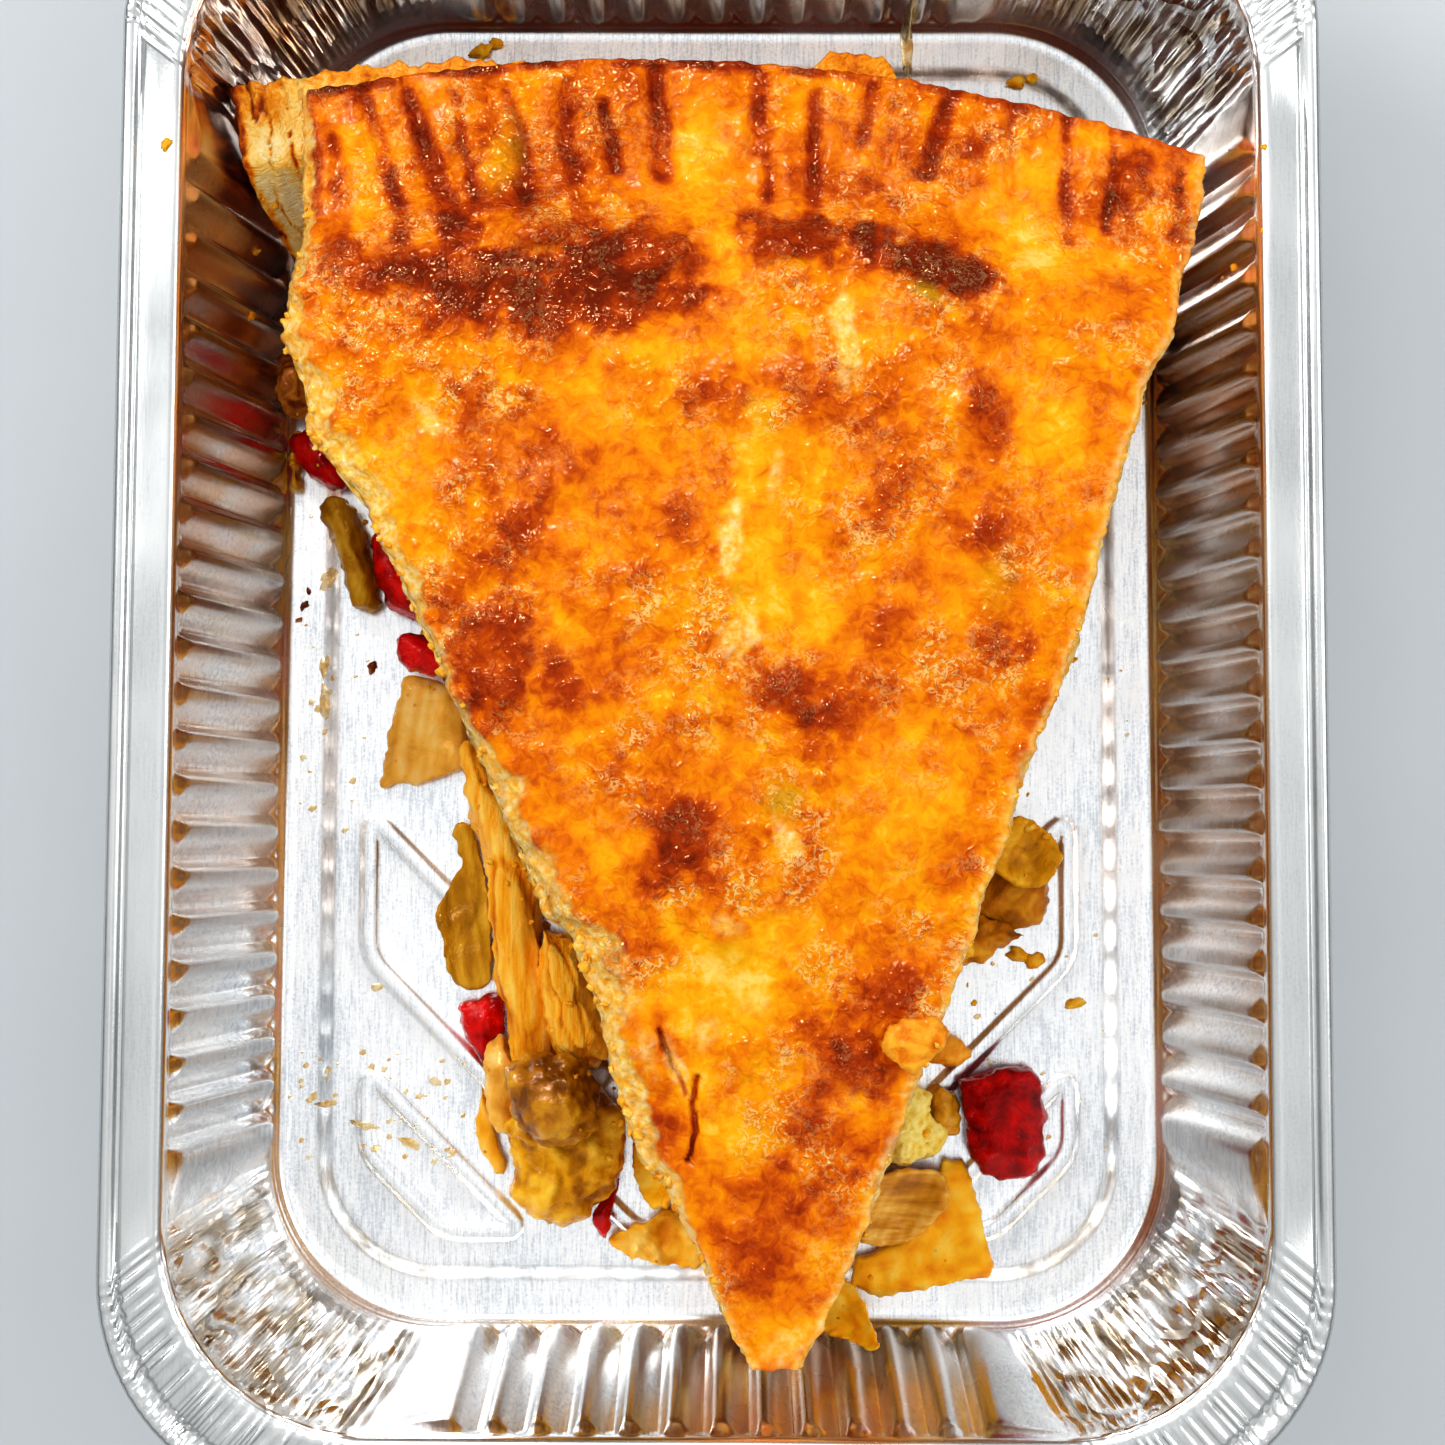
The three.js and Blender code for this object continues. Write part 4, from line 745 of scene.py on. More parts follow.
# How wide the left cut's broken edge is, as (y, width).
BROKEN_EDGE = [
    (-93, 0), (-78, 0.6), (-66, 2.6), (-58, 3.8), (-50, 2.6), (-44, 3.6), (-38, 4.4), (-30, 3), (-24, 2.6),
    (-18, 3.4), (-12, 1), (-4, 0.5), (4, 1.2), (14, 2.8), (24, 4), (34, 3.4), (42, 2.4), (48, 2), (53, 1.4),
    (60, 1.6), (75, 1)]

# Cracks in the top crust: corners, half width, depth.
CRACKS = [
    ([(-2.4, -56.0), (-3.1, -60.0), (-2.7, -63.0), (-3.6, -66.6)], 0.5, 1.6),
    ([(-7.6, -50.2), (-6.2, -53.6), (-4.0, -58.2)], 0.5, 1.2),
    ([(-25.6, -27.4), (-22.0, -32.8), (-19.4, -39.0)], 0.5, 0.9)]


def slice_point(t, s, left_cut, jut_left, jut_right):
    """A point of the slice seen from above: t runs from the tip to the rim, s from left to right."""
    y_left, y_right = lerp(TIP_Y, RIM_LEFT_Y, t), lerp(TIP_Y, RIM_RIGHT_Y, t)
    x_left = np.interp(y_left, *left_cut.T) - jut_left
    x_right = np.interp(y_right, *RIGHT_CUT.T) + jut_right
    bow = SAGITTA * t * 4 * s * (1 - s)
    return lerp(x_left, x_right, s), lerp(y_left, y_right, s) + bow, x_right - x_left


def softened(knots, blur):
    """A line of (place, value) knots as a function with its corners rounded over blur millimetres."""
    places = np.arange(-30, 202, 0.25)
    values = np.interp(places, *np.array(knots).T)
    reach = np.arange(-3 * blur, 3 * blur + 0.01, 0.25)
    weights = np.exp(-0.5 * (reach / blur) ** 2)
    values = np.convolve(np.pad(values, len(reach) // 2, "edge"), weights / weights.sum(), "valid")
    return lambda e: np.interp(e, places, values)


crust_profile = softened([
    (0, RIM_TOP - 0.6), (2, RIM_TOP), (17, RIM_TOP + 0.4), (26, RING_TOP), (42, MIDDLE_TOP),
    (110, MIDDLE_TOP - 0.6), (SLICE_LENGTH, TIP_TOP)], 1.6)
LIP = RIM_TOP - CRUST_THICK
base_top = softened([(0, LIP - 2.2), (9, LIP - 1.6), (21, ON_RIBS + BASE_THICK)], 1.2)
base_under = softened([(0, LIP - 5.4), (6, LIP - 6.4), (16.5, ON_RIBS)], 1.2)


def crust_under(e):
    return crust_profile(e) - CRUST_THICK - 0.8 * smooth(30, 12, e)


def shoulder(edge, width, drop):
    """How far a top face falls beside its cuts, over a rounded shoulder."""
    return drop * (1 - np.sqrt(1 - (1 - np.clip(edge / width, 0, 1)) ** 2))


def crag(t, share, hand, seed, size):
    """How far a broken face stands out, with layers that run along the slice."""
    places = joined(t * 170, share * 6 + 40 * hand, seed)
    return size * (0.6 * BROAD(places / [7, 3, 1]) + 0.45 * FINE.layers(places / [1.9, 1.1, 1], 2))


# How far out each of the rows that close a layer's end lies, as a share of the way to its outermost line.
CAP = np.array([0.35, 0.7, 0.9])


class Layer:
    """The loop of points round one layer of the slice at each row, from the tip to the rim, with both ends
    closed by a few rows that curve inwards. s and t are its places as in slice_point and e its distance from
    the rim; share is 1 on its top face and 0 on its underside."""

    def __init__(self, rows, across, rungs, beneath, crowd=1.0):
        top = np.linspace(0, 1, across) ** crowd
        side = np.linspace(1, 0, rungs + 1)[1:]
        under = np.linspace(1, 0, beneath)[1:]
        back = np.linspace(0, 1, rungs + 1)[1:-1]
        s = np.concatenate([top, np.ones(rungs), under, np.zeros(rungs - 1)])
        share = np.concatenate([np.ones(across), side, np.zeros(beneath - 1), back])
        t = np.pad(rows, len(CAP), "edge")[:, None]
        self.cap = np.concatenate([-CAP[::-1], np.zeros(len(rows)), CAP])[:, None]
        self.t, self.s, self.share = np.broadcast_arrays(t, s, share)
        self.e = (1 - self.t) * SLICE_LENGTH
        self.across = across

    def faces(self):
        rows, columns = self.s.shape
        faces = [loop_faces(rows, columns)]
        numbers = np.arange(columns)
        over = numbers[:self.across]
        round_below = np.concatenate([[0], numbers[:self.across - 1:-1], [self.across - 1]])
        shares = self.s[0]
        for row, flip in ((0, True), (rows - 1, False)):
            cap = zip_chains(over, shares[over], round_below, shares[round_below]) + row * columns
            faces.append(cap[:, ::-1] if flip else cap)
        return faces

    def mesh(self, name, x, y, z, middle, bulge, **fields):
        """The layer as a mesh. Its ends close towards a middle height and stand out by up to bulge."""
        z = lerp(z, middle, 1 - np.sqrt(1 - self.cap ** 2))
        points = joined(x, y + self.cap * bulge, z).reshape(-1, 3)
        fields = {key: values.reshape(-1, *values.shape[2:]) for key, values in fields.items()}
        return make_mesh(name, points, self.faces(), fields)


def fork_marks(points):
    """How far the fork has pressed the rim at each point, in millimetres."""
    depth = np.zeros(points.shape[:-1])
    bent = points + joined(0.7 * FINE(points / 5), 0, 0)
    fade = 0.75 + 0.35 * BROAD(points / [3, 7, 1] + 2.2)
    for x0, y0, x1, y1, half, deep in FORK_MARKS:
        away, share = to_line(bent, (x0, y0), (x1, y1))
        width = 1.65 * half * (0.8 + 0.35 * share)
        depth = np.maximum(depth, deep * fade * (1 - smooth(0.05, 1.3, away / width)))
    return depth


def crust_fields(flat, e, edge, from_left):
    """The top crust's relief in millimetres and its colour fields, at points seen from above. e is how far a
    point is from the rim, edge how far it is from the nearer cut and from_left from the left one."""
    rim = 1 - smooth(14, 22, e)
    marks = fork_marks(flat)

    # Relief: slow swells, blisters with sharp feet, flaky curls and fine grain.
    calm = np.max([*spots(flat, CALM, 0.4, 1.1, 0.15)], axis=0)
    busy = smooth(-0.45, 0.35, BROAD(flat / 13 + 3.3) + 0.4 * FINE(flat / 4)) * (1 - 0.85 * calm)
    height = 0.7 * BROAD(flat / 25 + 1.7) * smooth(16, 34, e) + 0.28 * BROAD(flat / 9 + 4.4)
    height = height + sum(spots(flat, BLISTERS, 0.3, 1.0, 0.15))
    lumps_here = FINE.layers(warped(flat, 4.6, 0.5), 2)
    curls = FINE.ridges(warped(flat, 2.8, 0.8), 1)
    grain = GRAIN.ridges(warped(flat, 1.7, 0.7, 5.0), 1)
    relief = 0.30 * lumps_here + (0.06 + 0.24 * busy) * curls + (0.04 + 0.13 * busy) * grain
    height = height + relief + rim * (0.45 * FINE(flat / [2.6, 6, 1]) - marks)
    torn = np.zeros_like(height)
    for corners, half, deep in CRACKS:
        for start, stop in zip(corners[:-1], corners[1:]):
            away, _ = to_line(flat + 0.35 * FINE(flat / 2)[..., None], start, stop)
            torn = np.maximum(torn, deep * (1 - smooth(0.2, 1.0, away / half)))
    height = height - torn

    # Colour: how far it has baked, from cream through yellow and orange to dark brown, with painted shade in
    # the cracks.
    mottle = 0.15 * BROAD.layers(warped(flat, 9, 0.8), 2) + 0.10 * FINE(warped(flat, 3.0, 0.9, 2.0))
    brown = 0.425 + mottle + 0.18 * relief
    brown = brown + 1.05 * sum(spots(flat, BROWNED, 0.75, 1.25, 0.42))
    pressed = smooth(0.15, 1.25, marks) * (0.85 + 0.5 * FINE(flat / 5))
    brown = brown + 0.42 * pressed + rim * (0.10 * FINE(warped(flat, 4.5, 0.5, 7.0) * [1, 0.35, 1]))
    scorched = smooth(-0.35, 0.3, FINE(flat / [5, 3, 1] + 6.0)) * (1 - 0.8 * smooth(2, 30, flat[..., 0]))
    # At the rim's edge the crust is scorched, and the cracks are browned: painted shade in them.
    brown = brown + (0.10 + 0.5 * scorched) * (1 - smooth(0.2, 1.5, e)) + 0.25 * np.clip(torn, 0, 1)

    ragged = 0.5 * FINE(flat / 2.4) + 0.3 * GRAIN(flat / 1.1)
    pale = 0.7 * (1 - smooth(0.1, 1.6, edge + ragged))
    # Along parts of the left cut the crust has broken away and shows its pale inside, sloping down.
    wide = np.interp(flat[..., 1], *np.array(BROKEN_EDGE).T) * (1.1 + 0.6 * FINE(flat / [9, 3.2, 1]))
    broken = (1 - smooth(0.7, 1.0, (from_left + ragged) / np.maximum(wide, 0.05))) * (wide > 0.3)
    height = height - broken * (0.5 + 2.2 * np.clip(1 - from_left / np.maximum(wide, 0.05), 0, 1))
    height = height + broken * 0.5 * GRAIN.ridges(warped(flat, 1.5, 0.6))
    pale = np.maximum(pale, 0.9 * broken)
    pale = np.max([pale, *spots(flat, PALE, 1.0, 1.05, 0.4)], axis=0) * (0.75 + 0.4 * FINE(flat / 1.3))
    green = np.max([0.25 * broken, *spots(flat, GREENISH, 0.1, 1.1, 0.2)], axis=0)
    bare = spot(flat, (-24.2, -29.0), (4.8, 3.8), -35, (0.6, 1.0), 0.2)
    height = height - 0.9 * bare - 0.5 * spot(flat, (-31.0, -16.2), (2.4, 2.8), 0, (0.5, 1.0), 0.2)
    gloss = np.clip(0.12 + 0.6 * busy + 0.6 * smooth(0.5, 0.8, brown), 0, 1)
    return height, brown, np.clip(pale, 0, 1), green, gloss


def top_crust():
    """The glazed upper crust, with its relief, its torn cuts and its colour fields."""
    layer = Layer(np.linspace(0, 1, 326), across=248, rungs=5, beneath=14)
    t, s, e, share = layer.t, layer.s, layer.e, layer.share
    jut = [crag(t, share, hand, 3.0, 1.25) for hand in (0, 1)]
    x, y, width = slice_point(t, s, LEFT_CUT, *jut)
    edge = np.minimum(s, 1 - s) * width
    flat = joined(x, y, 0)
    height, brown, pale, green, gloss = crust_fields(flat, e, edge, s * width)
    top = crust_profile(e) + height - shoulder(edge, 0.9, 0.5)
    under = crust_under(e) + 0.3 * FINE(flat / 4)
    z = lerp(under, np.minimum(top, HIGHEST_FOOD), share)
    y = y + 0.5 * np.abs(layer.cap) * FINE(flat / 1.8 + [0, 0, 9])
    cut = np.where(share == 1, 0, 1 - 0.55 * smooth(0.6, 0.95, share))
    return layer.mesh("top_crust", x, y, z, (top + under) / 2, 0.7, brown=brown, pale=np.maximum(pale, cut),
                      green=green, gloss=gloss * (1 - cut))


def crust_material():
    look = Shader("glazed_crust", specular_ior_level=0.22, specular_tint=(1.0, 0.5, 0.12, 1.0),
                  coat_weight=0.08, coat_roughness=0.04)
    busy, brown = look.field("gloss"), look.field("brown")
    look.set(roughness=look.remap(busy, 0.1, 0.9, 0.42, 0.1))
    fine = look.noise(1.7, 3, 0.64, distort=1.0)
    where = look.times(busy, look.remap(look.noise(6.5, 1, 0.6), 0.48, 0.60))
    curl = look.ridges(1.15, 1, distort=1.3)
    level = look.plus(brown, look.remap(fine, 0.3, 0.7, -0.11, 0.11))
    # Between the curling crests the crust turns browner: painted shade in the creases.
    level = look.plus(level, look.times(where, look.remap(curl, 0.45, 0.0, 0.0, 0.10)))
    baked = look.ramp(level, (0.04, srgb(252, 206, 100)), (0.2, srgb(248, 178, 18)),
                      (0.36, srgb(240, 150, 4)), (0.5, srgb(228, 118, 3)), (0.62, srgb(200, 84, 4)),
                      (0.74, srgb(168, 56, 5)), (0.88, srgb(140, 40, 4)), (1.0, srgb(112, 27, 4)))
    green = look.mix(look.field("green"), baked, srgb(205, 160, 10))
    crumb = look.ramp(look.noise(1.0, 3, 0.6), (0.3, srgb(242, 166, 44)), (0.48, srgb(255, 212, 100)),
                      (0.66, srgb(255, 240, 180)))
    based = look.mix(look.field("pale"), green, crumb)
    # Thin flaky edges stand up in curling lines, pale and wet, in the crust's busy patches; their cream
    # colour is partly the pastry's own, partly painted glints.
    broken = look.remap(look.noise(1.0, 1, 0.5), 0.43, 0.50)
    flakes_and_glints = look.times(look.times(look.remap(curl, 0.5, 0.72), broken), where)
    dark = look.remap(brown, 0.48, 0.64, 0.66, 0.1)
    look.set(base_color=look.mix(look.times(flakes_and_glints, dark), based, srgb(255, 232, 158)))
    lively = look.remap(busy, 0.0, 1.0, 0.2, 1.0)
    soft = look.bump(look.times(look.noise(1.7, 1, 0.5, distort=1.0), lively), 0.55)
    raised = look.bump(flakes_and_glints, 0.12, 1.0, soft)
    grainy = look.times(look.noise(0.8, 0, 0.5, distort=0.5), lively)
    bumpy = look.bump(grainy, 0.2, 1.0, raised)
    look.set(normal=bumpy, coat_normal=bumpy)
    return look.material


add_object("top_crust", top_crust(), crust_material(), "glazed_crust", "pie_top_crust")


def bottom_crust():
    """The lower crust: a thin layer under the filling that rises to a lip behind the rim. Left of the upper
    crust it shows, and there it has come apart into thin sheets."""
    rows = np.concatenate([np.linspace(0, 0.70, 110)[:-1], np.linspace(0.70, 1, 150)])
    layer = Layer(rows, across=150, rungs=8, beneath=60, crowd=1.6)
    t, s, e, share = layer.t, layer.s, layer.e, layer.share
    jut = [crag(t, share, hand, 8.0, 1.1) for hand in (0, 1)]
    x, y, width = slice_point(t, s, LEFT_BASE, jut[0], jut[1] - 1.0)
    lip = 2.4 * smooth(0.4, 0.22, s) + 5.2 * smooth(0.59, 0.63, s) * smooth(0.71, 0.68, s)
    flat = joined(x, y, 0)
    y = y + (lip + 0.9 * FINE(flat / 2.2) + 0.6 * GRAIN(flat / 1.1)) * smooth(0.955, 1, t)
    high = np.minimum(base_top(e), crust_under(e) - LAYER_GAP)
    low = base_under(e)
    # The sheets and the cracks between them, which are darkened with painted shadow.
    from_left = s * width
    shown = (1 - smooth(0.12, 0.17, s)) * smooth(0.70, 0.78, t)
    drift = 1.0 * BROAD(flat / [7, 12, 1]) + 0.35 * FINE(flat / [2.4, 4.5, 1]) + 0.12 * GRAIN(flat / 1.2)
    stack = from_left / 3.4 + drift + 20
    into = stack - np.floor(stack)
    sheet = 1 - smooth(0.0, 0.16, into)
    flaky = FINE.ridges(warped(flat * [1, 0.5, 1], 3.2, 0.7), 2)
    high = high + shown * (0.35 * flaky + 0.9 * smooth(0.0, 0.2, into) - 0.5 * into + 0.5 * BROAD(flat / 8))
    high = high - shoulder(np.minimum(s, 1 - s) * width, 1.2, 0.7)
    toast = np.where(share < 0.12, 0.62, 0.14) + 0.25 * smooth(0.93, 1, t) + 0.16 * BROAD(flat / 7)
    side = (1 - smooth(0.8, 1.0, share)) * smooth(0.6, 0.8, t)
    painted_crack_shadow = sheet * smooth(-0.5, 0.2, FINE(flat / [3, 6, 1]))
    crumbled = (1 - smooth(0.3, 1.7, from_left + 0.9 * FINE(flat / 1.8))) * shown
    patchy = 0.14 * FINE(warped(flat, 4, 0.6)) + 0.08 * flaky
    # Painted shadow darkens the cracks at the sheets' edges.
    toast = toast + 0.28 * side + shown * (0.62 * painted_crack_shadow - 0.13 + patchy)
    toast = toast + crumbled * (0.35 + 0.4 * GRAIN(flat / 0.9))
    return layer.mesh("bottom_crust", x, y, lerp(low, high, share), (high + low) / 2, 0.6, brown=toast)


def pastry_material():
    look = Shader("bare_pastry", roughness=0.55, specular_ior_level=0.2, specular_tint=(1.0, 0.6, 0.25, 1.0),
                  coat_weight=0.03, coat_roughness=0.2)
    fine = look.noise(1.2, 4, 0.65, distort=1.0)
    level = look.plus(look.field("brown"), look.remap(fine, 0.25, 0.75, -0.16, 0.16))
    look.set(base_color=look.ramp(level, (0.0, srgb(255, 240, 186)), (0.2, srgb(255, 214, 112)),
                                  (0.38, srgb(248, 156, 18)), (0.56, srgb(206, 96, 8)),
                                  (0.8, srgb(140, 50, 4)), (1.0, srgb(84, 26, 4))))
    layers = look.bump(look.ridges(1.6, 3, stretch=(1.6, 1.6, 0.5), distort=1.2), 0.35, 0.7)
    look.set(normal=look.bump(look.noise(0.5, 3, 0.65), 0.10, 0.7, layers))
    return look.material


add_object("bottom_crust", bottom_crust(), pastry_material(), "bare_crust", "pie_bottom_crust")

# What the filling's lumps are: colour and how often it comes.
FILLING_KINDS = [
    (srgb(240, 156, 20), 5), (srgb(216, 130, 6), 4), (srgb(180, 88, 8), 3), (srgb(246, 196, 80), 2),
    (srgb(190, 16, 6), 1), (srgb(164, 118, 10), 2)]
LUMPS = 520


def filling():
    """The filling between the crusts: at each cut every point belongs to the lump whose middle is nearest."""
    layer = Layer(np.linspace(0.03, 0.945, 250), across=16, rungs=44, beneath=16)
    t, s, e, share = layer.t, layer.s, layer.e, layer.share
    inset = (3.4 + 5 * smooth(0.86, 0.92, t), 2.2)
    high, low = crust_under(e) - LAYER_GAP, np.maximum(base_top(e), ON_RIBS + BASE_THICK) + LAYER_GAP
    z = lerp(low, high, share)
    rng = np.random.default_rng(21)
    middles = joined(rng.uniform(-95, 75, LUMPS), rng.uniform(2, 38, LUMPS))
    palette, often = (np.array(column, float) for column in zip(*FILLING_KINDS))
    kinds = rng.choice(len(palette), size=(2, LUMPS), p=often / often.sum())
    jut, colours = [], []
    for hand, shift in enumerate(((7.3, 3.1), (0, 0))):
        here = joined(75 - e, z) + shift
        here = here + 0.9 * joined(*(FINE(joined(e / 4, z / 4, depth + hand)) for depth in (5, 9)))
        first = np.full(t.shape, FAR)
        second = np.full(t.shape, FAR)
        owner = np.zeros(t.shape, int)
        for k, (along, up) in enumerate(middles):
            away = np.hypot((here[..., 0] - along) / 1.25, here[..., 1] - up)
            closer = away < first
            second = np.where(closer, first, np.minimum(second, away))
            first = np.where(closer, away, first)
            owner = np.where(closer, k, owner)
        lump = smooth(0, 1.6, second - first)
        jut.append((0.9 + 1.6 * rng.random(LUMPS)[owner]) * lump - 1.6 - inset[hand])
        # Each lump's colour darkens towards its borders, where it is pushed in: painted shade between the
        # lumps.
        colours.append(palette[kinds[hand][owner]] * (0.5 + 0.5 * lump)[..., None])
    x, y, _ = slice_point(t, s, LEFT_CUT, *jut)
    tint = np.where((s > 0.5)[..., None], colours[1], colours[0])
    return layer.mesh("filling", x, y, z, (high + low) / 2, 1.5, tint=tint)


def filling_material():
    look = Shader("filling", roughness=0.4, specular_ior_level=0.15, coat_weight=0.25, coat_roughness=0.08,
                  subsurface_weight=0.12, subsurface_scale=0.001)
    shade = look.ramp(look.noise(2.2, 4, 0.6), (0.3, (0.45, 0.4, 0.3, 1)), (0.6, (1, 1, 1, 1)))
    look.set(base_color=look.mix(1.0, look.field("tint", 0), shade, "MULTIPLY"))
    lumpy = look.bump(look.noise(1.8, 4, 0.6), 0.5, 0.6)
    look.set(normal=look.bump(look.noise(0.6, 3, 0.6), 0.10, 0.6, lumpy))
    return look.material


add_object("filling_inside", filling(), filling_material(), "pie_filling", "pie_filling")


# ---------------------------------------------------------------- loose pieces of filling and crust

VOXEL = 0.42


def remeshed(node):
    """The points, normals and faces of a solid, rebuilt with an even fine mesh."""
    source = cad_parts[node]
    copy = bpy.data.objects.new("copy", source.data.copy())
    bpy.context.scene.collection.objects.link(copy)
    remesh = copy.modifiers.new("remesh", "REMESH")
    remesh.mode = "VOXEL"
    remesh.voxel_size = VOXEL * MM
    relax = copy.modifiers.new("relax", "SMOOTH")
    relax.factor = 0.5
    relax.iterations = 6
    bpy.context.view_layer.update()
    ready = copy.evaluated_get(bpy.context.evaluated_depsgraph_get())
    mesh = bpy.data.meshes.new_from_object(ready)
    points, normals = np.empty((2, len(mesh.vertices) * 3), np.float32)
    mesh.vertices.foreach_get("co", points)
    mesh.vertices.foreach_get("normal", normals)
    quads = np.empty(len(mesh.loops), np.int32)
    mesh.loops.foreach_get("vertex_index", quads)
    bpy.data.objects.remove(copy)
    bpy.data.meshes.remove(mesh)
    return points.reshape(-1, 3) / MM, normals.reshape(-1, 3), quads.reshape(-1, 4)


def turned(points, degrees):
    """Points in a frame whose first direction is turned by degrees from +X, seen from above."""
    angle = math.radians(degrees)
    x, y, z = points.T
    return joined(x * math.cos(angle) + y * math.sin(angle), y * math.cos(angle) - x * math.sin(angle), z)


# The surfaces of the loose pieces. Each gives how far the surface stands out, in millimetres, and the field
# "mark" that the material reads, at points and for the direction in which the piece's fibres run.

def fibres(points, turn):
    lines = GRAIN(turned(points, turn) / [9, 0.8, 0.8])
    cracks = smooth(0.6, 1.0, FINE.ridges(turned(points, turn) / [26, 3.6, 6.0]))
    # The cracks are darker in the mark too: painted shade in them.
    return 0.06 * lines - 0.45 * cracks + 0.35 * BROAD(points / 5), 0.62 + 0.2 * lines - 0.5 * cracks


def veins(points, turn):
    lines = GRAIN(turned(points, turn) / [14, 1.0, 1.6])
    height = 0.05 * lines + 0.35 * BROAD(points / 5) + 0.15 * FINE(points / 2)
    return height, 0.5 + 0.35 * lines + 0.2 * BROAD(points / 4)


def lumps(points, turn):
    rough = 0.5 * FINE.layers(points / 3.0, 2) + 0.5 * BROAD(points / 6) + 0.2 * GRAIN(points / 1.2)
    return rough, smooth(-0.6, 0.7, rough)


def plain(points, turn):
    return 0.2 * BROAD(points / 4) + 0.12 * FINE(points / 1.6), 0.5 + 0.5 * FINE(points / 2.4)


def crusty(points, turn):
    curls = FINE.ridges(warped(points, 3.0, 0.8), 2)
    return 0.36 * curls + 0.2 * GRAIN(points / 1.2), 0.5 + 0.35 * curls


def grains(points, turn):
    cells = GRAIN.ridges(points / 1.15)
    return 0.28 * cells + 0.3 * BROAD(points / 2.6), 0.5 + 0.5 * cells


def torn(points, normals):
    """How far a piece's sides stand out or in, so that its outline is uneven."""
    sideways = 1 - np.abs(normals[:, 2])
    fine = 0.65 * FINE(points / [2.7, 2.7, 7]) + 0.4 * GRAIN(points / [1.1, 1.1, 4])
    return sideways * (fine + 0.5 * BROAD(points / [5, 5, 9]))


def wet(name, colours, size, rough=0.3, coat=0.10, soft=0.12, grain=(0.6, 0.12), stretch=(1, 1, 1),
        specks=None):
    """A moist vegetable or meat: a dark, a middle and a light colour from a noise and the field "mark"."""
    dark, middle, light = (srgb(*colour) for colour in colours)
    tint = tuple(0.08 + 0.92 * c / max(middle[:3]) for c in middle[:3]) + (1.0,)
    look = Shader(name, specular_ior_level=0.32, specular_tint=tint, coat_weight=coat, coat_roughness=0.06,
                  subsurface_weight=soft, subsurface_scale=0.0012, subsurface_radius=(1.0, 0.5, 0.2))
    cloud = look.noise(size, 4, 0.62, stretch, 0.6)
    level = look.plus(look.times(cloud, 0.6), look.times(look.field("mark"), 0.4))
    colour = look.ramp(look.remap(level, 0.3, 0.7), (0.0, dark), (0.5, middle), (1.0, light))
    if specks is not None:
        dots = look.remap(look.cells(2.1), 0.08, 0.16, 1.0, 0.0)
        some = look.remap(look.noise(5, 1), 0.48, 0.6)
        colour = look.mix(look.times(look.times(dots, some), 0.7), colour, srgb(*specks))
    uneven = look.remap(look.noise(1.5, 2), 0.35, 0.65, rough - 0.16, rough + 0.1)
    look.set(base_color=colour, roughness=uneven)
    bumpy = look.bump(look.noise(grain[0], 2, 0.55), grain[1], 0.9, look.bump(cloud, 0.55, 0.7))
    look.set(normal=bumpy, coat_normal=bumpy)
    return look.material


# Every moist material: its slot, its colours from 0 to 255, the size of its patches and its other settings.
FOODS = {
    "red_pepper": ("red_pepper", ((110, 0, 2), (196, 2, 2), (240, 20, 6)), 2.2, dict(rough=0.24, coat=0.22)),
    "dark_pepper": ("red_pepper", ((84, 0, 2), (166, 2, 2), (214, 8, 4)), 1.8, dict(rough=0.24, coat=0.18)),
    "green_vegetable": ("green_vegetable", ((104, 64, 3), (186, 128, 14), (238, 190, 56)), 4,
                        dict(stretch=(1, 2, 1))),
    "mustard": ("mustard_vegetable", ((158, 92, 4), (226, 158, 12), (250, 202, 64)), 3.2, {}),
    "brown_vegetable": ("brown_vegetable", ((118, 64, 4), (178, 112, 10), (224, 164, 36)), 3.0,
                        dict(rough=0.22, coat=0.3)),
    "onion": ("onion", ((222, 134, 14), (248, 180, 40), (255, 214, 110)), 5,
              dict(soft=0.25, specks=(150, 80, 14))),
    "onion_tan": ("onion", ((204, 128, 24), (244, 184, 74), (255, 218, 136)), 5,
                  dict(soft=0.25, specks=(206, 110, 20))),
    "onion_gold": ("onion", ((230, 132, 8), (250, 182, 28), (255, 216, 90)), 6,
                   dict(soft=0.2, specks=(140, 70, 8))),
    "onion_brown": ("onion", ((160, 96, 8), (214, 148, 34), (244, 204, 100)), 4,
                    dict(soft=0.25, coat=0.3, stretch=(2.4, 0.35, 1))),
    "onion_dark": ("onion", ((130, 68, 4), (198, 122, 10), (240, 180, 44)), 4, dict(soft=0.25)),
    "chicken": ("chicken", ((200, 100, 6), (250, 170, 30), (255, 216, 100)), 4,
                dict(rough=0.4, coat=0.08, stretch=(0.28, 2.6, 0.5), grain=(0.5, 0.16))),
    "crust_flake": ("dark_crust", ((178, 74, 3), (224, 122, 8), (250, 176, 50)), 2.5,
                    dict(rough=0.45, soft=0.05, grain=(0.7, 0.2))),
    "dark_flake": ("dark_crust", ((60, 18, 4), (120, 50, 10), (222, 146, 50)), 3.0,
                   dict(rough=0.45, soft=0.0, grain=(0.7, 0.2))),
    "cauliflower": ("cauliflower", ((206, 150, 26), (242, 206, 84), (254, 234, 140)), 1.6,
                    dict(rough=0.5, soft=0.2, grain=(0.5, 0.2))),
    "pastry_crumb": ("bare_crust", ((224, 122, 12), (254, 188, 56), (255, 228, 140)), 2.0,
                     dict(rough=0.55, coat=0.03, soft=0.05, grain=(0.7, 0.2))),
    "gold_crumb": ("bare_crust", ((226, 124, 8), (250, 178, 26), (255, 214, 92)), 2.0,
                   dict(rough=0.45, soft=0.05)),
}
MATERIALS = {name: wet(name, colours, size, **finish) for name, (_, colours, size, finish) in FOODS.items()}

